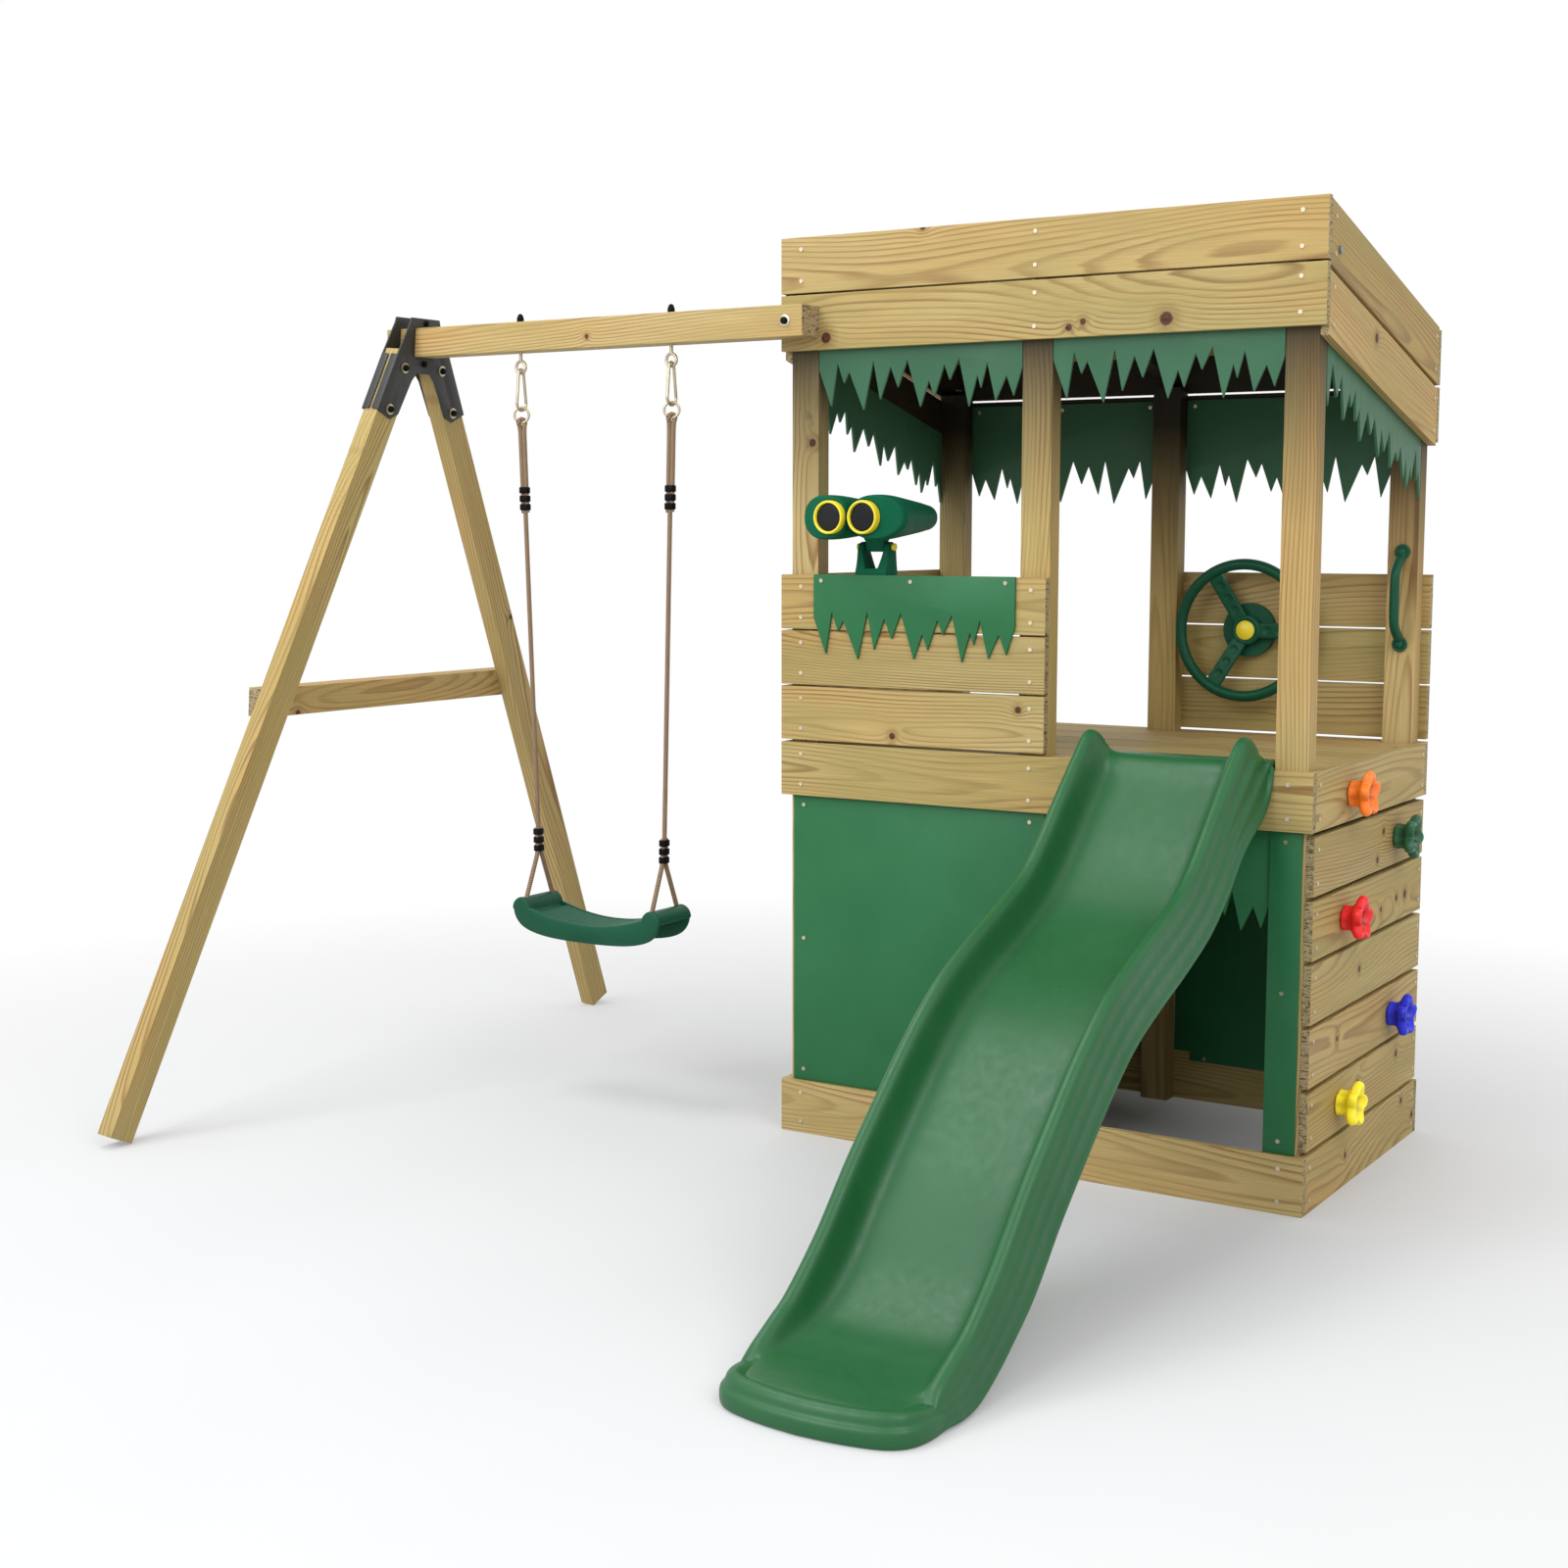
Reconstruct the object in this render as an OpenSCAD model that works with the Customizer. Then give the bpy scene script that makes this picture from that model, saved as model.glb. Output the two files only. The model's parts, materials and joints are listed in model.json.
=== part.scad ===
// Timber play tower with a climbing wall end, a slide, a single swing on an A-frame,
// tilting binoculars and a steering wheel. Millimetres, +Z up, the slide comes out towards -Y.
// The origin is the centre of the underside of the middle front post.

/* [Tower] */
// Overall width of the tower, along X
tower_w = 1235; // [1220:1:1250]
// Overall depth of the tower, along Y
tower_d = 770; // [766:1:774]
// Post section along X
post_w = 68; // [60:1:72]
// Post section along Y
post_d = 44; // [40:1:48]
// Thickness of every plank and board
plank_t = 18; // [16:1:20]
// Width of every plank
plank_w = 120; // [116:1:122]
// Gap between the planks of the climbing wall
wall_gap = 9.5; // [6:0.5:11]
// Gap between the planks of the rails and the front fascia
rail_gap = 4; // [2:0.5:6]

/* [Roof] */
// Height of the front fascia's lower edge
fascia_z = 1761; // [1755:1:1770]
// Height of the rear fascia's lower edge
rear_fascia_z = 1562; // [1550:1:1570]
// Slope of the roof in degrees
roof_slope = 14.4; // [13:0.1:15]
// Drop of the roof boards below the upper edge of the side planks
roof_recess = 20; // [15:1:30]
// Rafter section, down the slope's normal
rafter_h = 68; // [50:1:70]
// Rafter section along X
rafter_w = 34; // [28:1:34]

/* [Green panels] */
// Thickness of the plastic panels
panel_t = 6; // [4:1:8]
// Width of a leaf panel, between two posts
leaf_w = 495; // [480:1:496]
// Extra height of the taller leaf panels above the outline
leaf_tall = 54; // [30:1:60]

/* [Climbing holds] */
// Radius over a hold's lobes
hold_r = 46; // [42:1:50]
// How far a hold stands off the wall
hold_h = 52; // [45:1:56]
// Radius of a hold's bolt
hold_bolt_r = 4; // [3:0.5:5]

/* [Slide] */
// Centre line of the slide, along X
slide_x = 327; // [322:1:327]
// Half the distance between the two side wall crests
slide_half = 165; // [155:1:170]
// Thickness of the plastic skin
slide_skin = 4; // [3:0.5:5]
// Depth of the chute below the crests
chute_depth = 75; // [60:1:80]
// Depth of the outer walls below the crests
wall_depth = 103; // [95:1:110]

/* [Swing] */
// Section of the swing beam
beam_s = 68; // [60:1:70]
// Length of the swing beam
beam_len = 1195; // [1190:1:1210]
// Outward lean of the A-frame in degrees
frame_lean = 4.8; // [3:0.1:6]
// Half the angle between the A-frame's legs
leg_splay = 25; // [22:0.5:27]
// Rope diameter
rope_d = 11; // [10:0.5:12]
// Distance between the two hangers
hanger_span = 436; // [420:1:450]
// Width of the seat, along X
seat_w = 430; // [420:1:440]
// Depth of the seat, along Y
seat_d = 132; // [120:1:140]

/* [Accessories] */
// Outer radius of the steering wheel
wheel_r = 163; // [150:1:166]
// Radius of the wheel's rim section
rim_r = 11.5; // [9:0.5:12]
// Radius of the grab handle's grip
grip_r = 10.5; // [9:0.5:12]
// Running clearance of the wheel and of the binoculars, on the radius
run_clear = 0.05; // [0.02:0.01:0.1]

/* [Hidden] */
$fn = 48;

wood = "burlywood";
green = [0.12, 0.45, 0.27];
dark_green = [0.05, 0.3, 0.2];
yellow = [0.95, 0.85, 0.2];
zinc = [0.85, 0.8, 0.65];

half_w = tower_w / 2;
inner_x = half_w - plank_t;
post_x = inner_x - post_w / 2;
y_front = -(post_d / 2 + plank_t);
y_back = y_front + tower_d;
y_in = -post_d / 2;
y_rear_in = y_back - plank_t;
rear_y = y_rear_in - post_d / 2;
wall_pitch = plank_w + wall_gap;
deck_top = 6 * wall_pitch + plank_w;
deck_low = 6 * wall_pitch;
rail_pitch = plank_w + rail_gap;
rail_z = deck_top + 6;
rail_top = rail_z + 2 * rail_pitch + plank_w;
front_top = fascia_z + rail_pitch + plank_w;
rise = tan(roof_slope);
side_drop = (2 * plank_w + wall_gap) / cos(roof_slope);
board_low = (roof_recess + plank_t) / cos(roof_slope);
rafter_low = board_low + rafter_h / cos(roof_slope);
bay_x = post_x / 2;
joint_gap = 0.2;
far = 2000;

// Height of the roof's upper edge at a given Y
function roof_z(y) = front_top - rise * (y - y_front);

// A box given by two opposite corners
module box(lo, hi) {
    translate(lo)
        cube(hi - lo);
}

// A cylinder along X or Y, starting at p
module rod_x(p, r, h) {
    translate(p)
        rotate([0, 90, 0])
            cylinder(r = r, h = h);
}

module rod_y(p, r, h) {
    translate(p)
        rotate([-90, 0, 0])
            cylinder(r = r, h = h);
}

// A cylinder between two points
module strut(a, b, r) {
    d = b - a;
    translate(a)
        rotate([0, acos(d.z / norm(d)), atan2(d.y, d.x)])
            cylinder(r = r, h = norm(d));
}

// A plate in the YZ plane: outline points are [y, z], thickness runs along +X
module side_plate(x, t, outline) {
    translate([x, 0, 0])
        rotate([90, 0, 90])
            linear_extrude(t)
                polygon(outline);
}

// A plate in the XZ plane: outline points are [x, z], thickness runs along +Y
module front_plate(y, t, outline) {
    translate([0, y + t, 0])
        rotate([90, 0, 0])
            linear_extrude(t)
                polygon(outline);
}

// ---------------------------------------------------------------- timber tower

module post(x, y, top) {
    color(wood)
        box([x - post_w / 2, y - post_d / 2, 0], [x + post_w / 2, y + post_d / 2, top]);
}

front_post_top = roof_z(-y_in) - rafter_low - 2;
rear_post_top = roof_z(y_rear_in) - rafter_low - 2;

module rear_posts() {
    for (x = [-post_x, 0, post_x])
        post(x, rear_y, rear_post_top);
}

module plank_x(x0, x1, y, z) {
    color(wood)
        box([x0, y, z], [x1, y + plank_t, z + plank_w]);
}

module plank_y(x, z) {
    color(wood)
        box([x, y_in + joint_gap, z], [x + plank_t, y_rear_in - joint_gap, z + plank_w]);
}

module edge_planks(z) {
    plank_x(-half_w, half_w, y_front, z);
    plank_x(-half_w, half_w, y_rear_in, z);
    plank_y(-half_w, z);
}

// Climbing holds: [name's colour, y, plank number]
hold_columns = [169, 508];
holds = [
    [[0.95, 0.45, 0.08], hold_columns[0] + 20, 7],
    [[0.1, 0.4, 0.25], hold_columns[1], 6],
    [[0.85, 0.08, 0.08], hold_columns[0], 5],
    [[0.1, 0.12, 0.7], hold_columns[1] - 8, 3],
    [[0.9, 0.8, 0.1], hold_columns[0] - 2, 2]
];

function hold_z(i) = (holds[i][2] - 1) * wall_pitch + plank_w / 2;

module climb_plank(n) {
    difference() {
        plank_y(inner_x, (n - 1) * wall_pitch);
        for (i = [0 : len(holds) - 1])
            if (holds[i][2] == n)
                rod_x([inner_x - 1, holds[i][1], hold_z(i)], hold_bolt_r + 0.5, plank_t + 2);
    }
}

board_n = 5;
board_room = rear_y - post_d / 2 - post_d / 2;
board_gap = (board_room - board_n * plank_w) / (board_n + 1);

module deck_boards() {
    color(wood) {
        for (i = [0 : board_n - 1]) {
            y = post_d / 2 + board_gap + i * (plank_w + board_gap);
            box([-inner_x, y, deck_top - plank_t], [inner_x, y + plank_w, deck_top]);
        }
        for (s = [-1, 1], y = [0, rear_y])
            box([s * bay_x - leaf_w / 2, y - 20, deck_top - plank_t],
                [s * bay_x + leaf_w / 2, y + 20, deck_top]);
    }
}

joist_h = 68;

module deck_joists() {
    x_near = post_w / 2 + post_d / 2;
    x_far = post_x - post_w / 2 - post_d / 2;
    color(wood)
        for (s = [-1, 1], x = [x_near, bay_x, x_far])
            box([s * x - post_d / 2, y_in, deck_top - plank_t - joist_h],
                [s * x + post_d / 2, y_rear_in, deck_top - plank_t]);
}

block_x = -388;
block_w = 80;

module window_planks() {
    for (i = [0 : 2])
        plank_x(-half_w, post_w / 2, y_front, rail_z + i * rail_pitch);
    // Timber block behind the top plank, under the binoculars
    color(wood)
        box([block_x - block_w / 2, y_in + joint_gap, rail_top - plank_w],
            [block_x + block_w / 2, y_in + post_d - 9, rail_top]);
}

module rear_rail_planks() {
    for (i = [0 : 2])
        plank_x(-post_w / 2, half_w, y_rear_in, rail_z + i * rail_pitch);
}

module left_rail_planks() {
    for (i = [0 : 2])
        plank_y(-half_w, rail_z + i * rail_pitch);
}

module front_fascia_planks() {
    for (i = [0, 1])
        plank_x(-half_w, half_w, y_front, fascia_z + i * rail_pitch);
}

module rear_fascia_planks() {
    for (i = [0, 1])
        plank_x(-half_w, half_w, y_rear_in, rear_fascia_z + i * (rail_pitch + 1));
}

// A piece that follows the roof slope, between two vertical drops below its upper edge
module sloped(x, t, y0, y1, drop_top, drop_low) {
    color(wood)
        side_plate(x, t, [
            [y0, roof_z(y0) - drop_top],
            [y0, roof_z(y0) - drop_low],
            [y1, roof_z(y1) - drop_low],
            [y1, roof_z(y1) - drop_top]
        ]);
}

module side_fascia_planks() {
    drop = plank_w / cos(roof_slope);
    for (x = [-half_w, inner_x]) {
        sloped(x, plank_t, y_in, y_rear_in, 0, drop);
        sloped(x, plank_t, y_in, y_rear_in, side_drop - drop, side_drop);
    }
}

module roof_rafters() {
    for (x = [-inner_x, -rafter_w / 2, inner_x - rafter_w])
        sloped(x, rafter_w, y_in, y_rear_in, board_low, rafter_low);
}

roof_board_n = 6;

module roof_boards() {
    pitch = (y_rear_in - y_in) / roof_board_n;
    for (i = [0 : roof_board_n - 1]) {
        y = y_in + 2 + i * pitch;
        sloped(-inner_x, 2 * inner_x, y, y + pitch - 4,
            roof_recess / cos(roof_slope), board_low - joint_gap);
    }
}

// ---------------------------------------------------------------- green panels

panel_low = plank_w + 1;
panel_edge = post_w / 2 - 1;
screw_z = [755, 450, 147];

module front_panel() {
    color(green)
        box([-post_x - 26, y_in - panel_t, panel_low], [panel_edge, y_in, deck_low - 1]);
}

module front_strip() {
    color(green)
        box([post_x - 38, y_in - panel_t, panel_low], [post_x + 28, y_in, deck_low - 1]);
}

notch_w = 40;
notch_h = 23;
hidden_edge = 23;

module rear_panels() {
    w = leaf_w / 2;
    outline = [
        [-w, plank_w - hidden_edge + notch_h],
        [-w + notch_w, plank_w - hidden_edge + notch_h],
        [-w + notch_w, plank_w - hidden_edge],
        [w, plank_w - hidden_edge],
        [w, deck_low + hidden_edge],
        [-w, deck_low + hidden_edge]
    ];
    color(green)
        for (s = [-1, 1])
            translate([s * bay_x, 0, 0])
                scale([s, 1, 1])
                    front_plate(y_rear_in - panel_t, panel_t, outline);
}

module left_panel() {
    color(green)
        box([-inner_x, post_d / 2 + 1, plank_w - hidden_edge],
            [-inner_x + panel_t, rear_y - post_d / 2 - 1, deck_low + hidden_edge]);
}

// Hanging leaf outline: [distance from the left edge, depth below the upper line]
leaf = [
    [0, 95], [31, 175], [47, 82], [63, 125], [76, 100], [113, 185], [137, 80], [154, 163],
    [180, 94], [198, 138], [221, 81], [253, 181], [274, 126], [287, 160], [311, 94],
    [324, 127], [346, 83], [370, 184], [390, 119], [398, 146], [413, 94], [433, 174],
    [458, 122], [475, 165], [495, 107]
];

// A leaf panel centred on x, its outline hanging from z and its back above it by extra
module leaf_panel(x, y, z, extra, flip) {
    k = leaf_w / 495;
    tips = [for (p = leaf) [k * p[0] - leaf_w / 2, -p[1]]];
    outline = concat([[leaf_w / 2, extra], [-leaf_w / 2, extra]], tips);
    color(green)
        translate([x, 0, z])
            scale([flip ? -1 : 1, 1, 1])
                front_plate(y, panel_t, outline);
}

module window_leaf_panel() {
    leaf_panel(-bay_x + 1, y_front - panel_t, rail_top + 1.5, 0, false);
}

module front_leaf_panels() {
    for (s = [-1, 1])
        leaf_panel(s * bay_x, y_in, fascia_z + 52, 0, false);
}

module rear_leaf_panels() {
    for (s = [-1, 1])
        leaf_panel(s * bay_x, y_rear_in - panel_t, rear_fascia_z + 55, leaf_tall, true);
}

module door_leaf_panel() {
    leaf_panel(bay_x, y_in, deck_low - 36, leaf_tall, false);
}

// Side leaf outline: [distance behind the front post, depth below the side planks]
side_leaf = [
    [0, 92], [10, 118], [32, 28], [64, 85], [90, 34], [110, 116], [141, 52], [153, 77],
    [178, 37], [186, 95], [206, 63], [218, 126], [260, 53], [284, 94], [306, 52],
    [340, 123], [354, 61], [376, 102], [411, 49], [426, 121], [456, 77], [473, 95],
    [490, 57], [515, 121], [531, 71], [542, 132], [566, 81], [572, 106], [601, 33],
    [615, 97], [624, 73], [640, 130]
];

module side_leaf_panels() {
    y0 = post_d / 2 + 3;
    y1 = y0 + 640;
    top = side_drop - 40;
    outline = concat(
        [[y1, roof_z(y1) - top], [y0, roof_z(y0) - top]],
        [for (p = side_leaf) [y0 + p[0], roof_z(y0 + p[0]) - side_drop - p[1]]]
    );
    color(green)
        for (x = [-inner_x, inner_x - panel_t])
            side_plate(x, panel_t, outline);
}

// ---------------------------------------------------------------- slide

// Crest of the side walls, [y, z], from the deck down to the run-out
crest = [
    [-46, 918], [-62, 946], [-100, 958], [-150, 918], [-250, 824], [-330, 748], [-400, 697],
    [-502, 652], [-621, 604], [-734, 550], [-843, 473], [-947, 383], [-1046, 293],
    [-1142, 195], [-1235, 115], [-1290, 82], [-1325, 62]
];

// Direction across the crest at point i, towards the underside
function crest_normal(i) =
    let (d = crest[i + 1] - crest[i - 1])
    [-d[1], d[0]] / norm(d);

// The steep stretch of the crest moved down by d, square to it
function below(d) = [for (i = [3 : 12]) crest[i] + d * crest_normal(i)];

function reverse(v) = [for (i = [len(v) - 1 : -1 : 0]) v[i]];

foot_end = -1495;
foot_y = -1385;
foot_r = 500;
slide_out = slide_half + 12;
lip_top = 914;
chute_half = 140;

// Chute floor where it flattens out, [y, z]
run_out = [[-1070, 160], [-1140, 98], [-1205, 56], [-1270, 34], [-1345, 26], [-1410, 24]];

// Outside of the slide seen from the side, lowered by drop to hollow it out
function slide_outline(drop) = concat(
    [for (p = crest) p - [0, drop]],
    [[-1345, 52 - drop], [-1400 + drop, 45 - drop], [-1400 + drop, -drop], [-1270, -drop],
        [-1178, 48 - drop], [-1109, 99 - drop]],
    reverse([for (p = below(wall_depth)) p - [0, drop]]),
    [[y_front - 1, 838 - drop]]
);

// Space of the chute, open upwards
chute_outline = concat(
    [[-20, lip_top], [-58, lip_top - 2], [-82, lip_top - 19]],
    below(chute_depth), run_out, [[-1410, far], [-20, far]]
);

// Space under the chute floor, open downwards
under_outline = concat(
    [[-55, lip_top - 8], [-77, lip_top - 24]],
    below(chute_depth + slide_skin),
    [for (i = [0 : 4]) run_out[i] - [0, slide_skin + 1]],
    [[-1381, 18], [-1381, -far], [-55, -far]]
);

module slide_foot(r_in, z0, z1) {
    intersection() {
        translate([slide_x, foot_end + foot_r, z0])
            cylinder(r = foot_r - r_in, h = z1 - z0, $fn = 96);
        box([slide_x - slide_out - 6 + r_in, foot_end, z0],
            [slide_x + slide_out + 6 - r_in, foot_y, z1]);
    }
}

module slide() {
    color(green) {
        difference() {
            side_plate(slide_x - slide_out, 2 * slide_out, slide_outline(0));
            side_plate(slide_x - chute_half, 2 * chute_half, chute_outline);
            side_plate(slide_x - chute_half, 2 * chute_half, under_outline);
            for (s = [-1, 1])
                side_plate(slide_x + s * (chute_half + slide_out) / 2 - slide_skin * 3.5,
                    slide_skin * 7, slide_outline(slide_skin));
        }
        // Run-out lip, open underneath
        difference() {
            slide_foot(0, 0, 24);
            slide_foot(slide_skin * 2, -1, 19);
        }
        // Hook flange that lies on the deck
        box([slide_x - 202, y_front - 6, deck_top], [slide_x + 202, 22, lip_top]);
        // Apron in front of the deck's edge plank
        box([slide_x - 202, y_front - 7, deck_top - 40], [slide_x + 202, y_front - 1, lip_top]);
    }
}

// ---------------------------------------------------------------- swing frame

beam_x0 = -1716.5;
beam_y = y_front - beam_s / 2;
beam_z = fascia_z + plank_w / 2;
apex = [-1629.5, beam_y, beam_z];
leg_t = 44;
leg_start = 35;
leg_u = 38;
leg_len = (beam_z / cos(frame_lean) - post_w / 2 * sin(leg_splay)) / cos(leg_splay);

module swing_beam() {
    color(wood)
        difference() {
            box([beam_x0, beam_y - beam_s / 2, beam_z - beam_s / 2],
                [beam_x0 + beam_len, y_front, beam_z + beam_s / 2]);
            for (s = [-1, 1])
                translate([hanger_x(s), beam_y, beam_z - beam_s])
                    cylinder(r = 4.5, h = 2 * beam_s);
        }
}

// Local frame of the A-frame: x square to it, y along the tower's Y, z up the lean
module on_frame() {
    translate(apex)
        rotate([0, frame_lean, 0])
            children();
}

// Local frame of one leg, z up its axis
module on_leg(s) {
    on_frame()
        translate([0, s * leg_u, 0])
            rotate([s * leg_splay, 0, 0])
                children();
}

bolt_down = [69, 180];

module swing_leg(s) {
    color(wood)
        on_leg(s)
            difference() {
                box([-leg_t + 0.05, -post_w / 2, -leg_len], [-0.05, post_w / 2, -leg_start]);
                for (d = bolt_down)
                    rod_x([-leg_t - 1, 0, -d], 4.5, leg_t + 2);
            }
}

bar_z = 862;
bar_half = 455;

module leg_crossbar() {
    color(wood)
        on_frame()
            box([-leg_t * 2, -bar_half, -bar_z - post_w / 2],
                [-leg_t, bar_half, -bar_z + post_w / 2]);
}

plate_t = 4;
fold_gap = 0.5;
notch_top = 70;

fold_w = 21;

module apex_plate(x, fold_x) {
    fold_edge = post_w / 2 + fold_gap + plate_t;
    edge = fold_edge - 1;
    shoulder = [leg_u + 48 * sin(leg_splay) + edge * cos(leg_splay),
        -48 * cos(leg_splay) + edge * sin(leg_splay)];
    arm = [leg_u + 200 * sin(leg_splay) + edge * cos(leg_splay),
        -200 * cos(leg_splay) + edge * sin(leg_splay)];
    half = [[50, 59], [54, 46], shoulder, arm, [112, -186], [84, -174], [41, -92],
        [24, -notch_top - 4]];
    outline = concat(half, reverse([for (p = half) [-p[0], p[1]]]));
    color("dimgray") {
        on_frame()
            difference() {
                side_plate(x, plate_t, outline);
                // Square hole for the beam, slanted because the plate leans
                rotate([0, -frame_lean, 0])
                    box([-200, -beam_s / 2 - 0.5, -beam_s / 2 - 0.5],
                        [200, beam_s / 2 + 0.5, beam_s / 2 + 0.5]);
                for (s = [-1, 1])
                    translate([0, s * leg_u, 0])
                        rotate([s * leg_splay, 0, 0])
                            for (d = bolt_down)
                                rod_x([-100, 0, -d], 4.5, 200);
            }
        // Folded outer edges that run down the legs' sides
        for (s = [-1, 1])
            on_leg(s)
                box([fold_x, s > 0 ? post_w / 2 + fold_gap : -fold_edge, -197],
                    [fold_x + fold_w, s > 0 ? fold_edge : -post_w / 2 - fold_gap, -51]);
    }
}

module apex_brackets() {
    apex_plate(0, plate_t - fold_w - 0.5);
    apex_plate(-leg_t - plate_t, -leg_t - plate_t + 0.5);
}

bolt_r = 4;

// A coach bolt along +X in the local frame: shank, washers, dome head and nut
module cross_bolt(x0, x1) {
    rod_x([x0 - 8, 0, 0], bolt_r, x1 - x0 + 12);
    color(zinc) {
        rod_x([x1, 0, 0], 11, 1.8);
        rod_x([x0 - 1.8, 0, 0], 11, 1.8);
    }
    color("black") {
        rod_x([x1 + 1.8, 0, 0], 7.5, 6);
        rod_x([x0 - 8.8, 0, 0], 7.5, 7);
    }
}

// A coach screw driven along +X from a face at x = 0
module coach_screw(len_in) {
    rod_x([-6, 0, 0], bolt_r, len_in + 6);
    color(zinc)
        rod_x([-1.8, 0, 0], 11, 1.8);
    color("black")
        rod_x([-8.8, 0, 0], 7.5, 7);
}

module frame_bolts() {
    for (s = [-1, 1]) {
        on_leg(s)
            for (d = bolt_down)
                translate([0, 0, -d])
                    cross_bolt(-leg_t - plate_t, plate_t);
        on_frame()
            translate([-leg_t * 2, s * 425, -bar_z])
                coach_screw(leg_t * 2 - 8);
    }
    // Bolt through the beam, the fascia and the left front post
    translate([-post_x, 0, beam_z])
        rotate([0, 0, -90])
            cross_bolt(-post_d / 2, beam_s - y_front);
    // Hexagon bolt near the front top of the right side fascia
    translate([half_w, 24, 1907])
        rotate([0, 0, 180]) {
            rod_x([-1, 0, 0], bolt_r, 13);
            color(zinc)
                rod_x([-5.5, 0, 0], 8.5, 5.5, $fn = 6);
        }
}

// ---------------------------------------------------------------- climbing holds

lobes = 5;

module hold(i) {
    lobe_r = 17;
    color(holds[i][0])
        translate([half_w, holds[i][1], hold_z(i)])
            rotate([0, 90, 0])
                difference() {
                    union() {
                        cylinder(r1 = 36, r2 = 27, h = hold_h - 14);
                        for (a = [0 : lobes - 1])
                            rotate(a * 360 / lobes + i * 25) {
                                translate([hold_r - lobe_r, 0, hold_h - 24])
                                    cylinder(r1 = lobe_r - 5, r2 = lobe_r, h = 14);
                                translate([hold_r - lobe_r, 0, hold_h - 10])
                                    cylinder(r1 = lobe_r, r2 = lobe_r - 6, h = 10);
                                translate([hold_r - lobe_r - 4, 0, 0])
                                    cylinder(r = lobe_r - 5, h = hold_h - 20);
                            }
                    }
                    // Recess for the bolt head, and its hole
                    translate([0, 0, 22])
                        cylinder(r = 13, h = hold_h);
                    translate([0, 0, -1])
                        cylinder(r = hold_bolt_r + 0.5, h = hold_h);
                }
}

module hold_bolts() {
    color(zinc)
        for (i = [0 : len(holds) - 1])
            translate([half_w, holds[i][1], hold_z(i)]) {
                rod_x([-plank_t - 9, 0, 0], hold_bolt_r, plank_t + 32);
                rod_x([22, 0, 0], 12, 1.6);
                rod_x([23.6, 0, 0], 7.5, 7);
                rod_x([-plank_t - 2, 0, 0], 11, 2);
                rod_x([-plank_t - 8, 0, 0], 6.5, 6);
            }
}

// ---------------------------------------------------------------- binoculars

bino_y = -11;
bino_z = rail_top + 62;
ear_t = 14;
ear_r = 12;
pivot_r = 4;
barrel_x = 42;
lens_z = 1397;

module ear(x) {
    rod_x([x, bino_y, bino_z], ear_r, ear_t);
    side_plate(x, ear_t, [
        [y_front + 2, rail_top + 12], [bino_y - ear_r, bino_z],
        [bino_y + ear_r, bino_z], [y_front + 51, rail_top + 12]
    ]);
}

module binocular_bracket() {
    color(dark_green)
        difference() {
            union() {
                box([block_x - block_w / 2, y_front, rail_top],
                    [block_x + block_w / 2, y_front + 53, rail_top + 12.5]);
                ear(block_x - block_w / 2);
                ear(block_x + block_w / 2 - ear_t);
            }
            rod_x([block_x - 60, bino_y, bino_z], pivot_r + run_clear, 120);
        }
}

module binocular_body() {
    stem = block_w / 2 - ear_t - 1;
    color(dark_green)
        difference() {
            union() {
                // Stem between the bracket's ears
                rod_x([block_x - stem, bino_y, bino_z], ear_r, 2 * stem);
                box([block_x - stem, bino_y - ear_r, bino_z],
                    [block_x + stem, bino_y + ear_r, lens_z - 20]);
                // Bridge and the two tapered barrels
                box([block_x - barrel_x, -60, lens_z - 22], [block_x + barrel_x, 70, lens_z + 22]);
                for (s = [-1, 1])
                    translate([block_x + s * barrel_x, -140, lens_z])
                        rotate([-90, 0, 0]) {
                            cylinder(r = 38, h = 60);
                            translate([0, 0, 60])
                                cylinder(r1 = 36, r2 = 25, h = 200);
                        }
                // Wide hood round both lenses
                translate([block_x, -60, lens_z])
                    rotate([90, 0, 0])
                        linear_extrude(60) {
                            square([154, 97], center = true);
                            for (s = [-1, 1])
                                translate([s * 77, 0])
                                    circle(r = 48.5);
                        }
            }
            rod_x([block_x - 60, bino_y, bino_z], pivot_r + run_clear, 120);
            // Seats of the lenses
            for (s = [-1, 1])
                rod_y([block_x + s * barrel_x, -141, lens_z], 30.2, 11);
        }
}

module binocular_lenses() {
    for (s = [-1, 1]) {
        color(yellow)
            difference() {
                rod_y([block_x + s * barrel_x, -152, lens_z], 36, 12);
                rod_y([block_x + s * barrel_x, -153, lens_z], 30, 14);
            }
        color("black")
            rod_y([block_x + s * barrel_x, -146, lens_z], 30, 14);
    }
}

module binocular_bolt() {
    color(yellow) {
        rod_x([block_x - block_w / 2 - 5, bino_y, bino_z], pivot_r, block_w + 10);
        rod_x([block_x + block_w / 2 + 0.5, bino_y, bino_z], 8, 6);
        rod_x([block_x - block_w / 2 - 6.5, bino_y, bino_z], 8, 6);
    }
}

// ---------------------------------------------------------------- steering wheel

wheel_x = 202.5;
wheel_z = 1139;
rim_y = 660;
hub_r = 35;
axle_r = 10;
hub_y = 672;
hub_back = 694;

module wheel_base() {
    color(dark_green) {
        rod_y([wheel_x, hub_back + 1, wheel_z], 62, y_rear_in - hub_back - 1);
        rod_y([wheel_x, hub_y + 4, wheel_z], axle_r, 24);
    }
}

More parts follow.
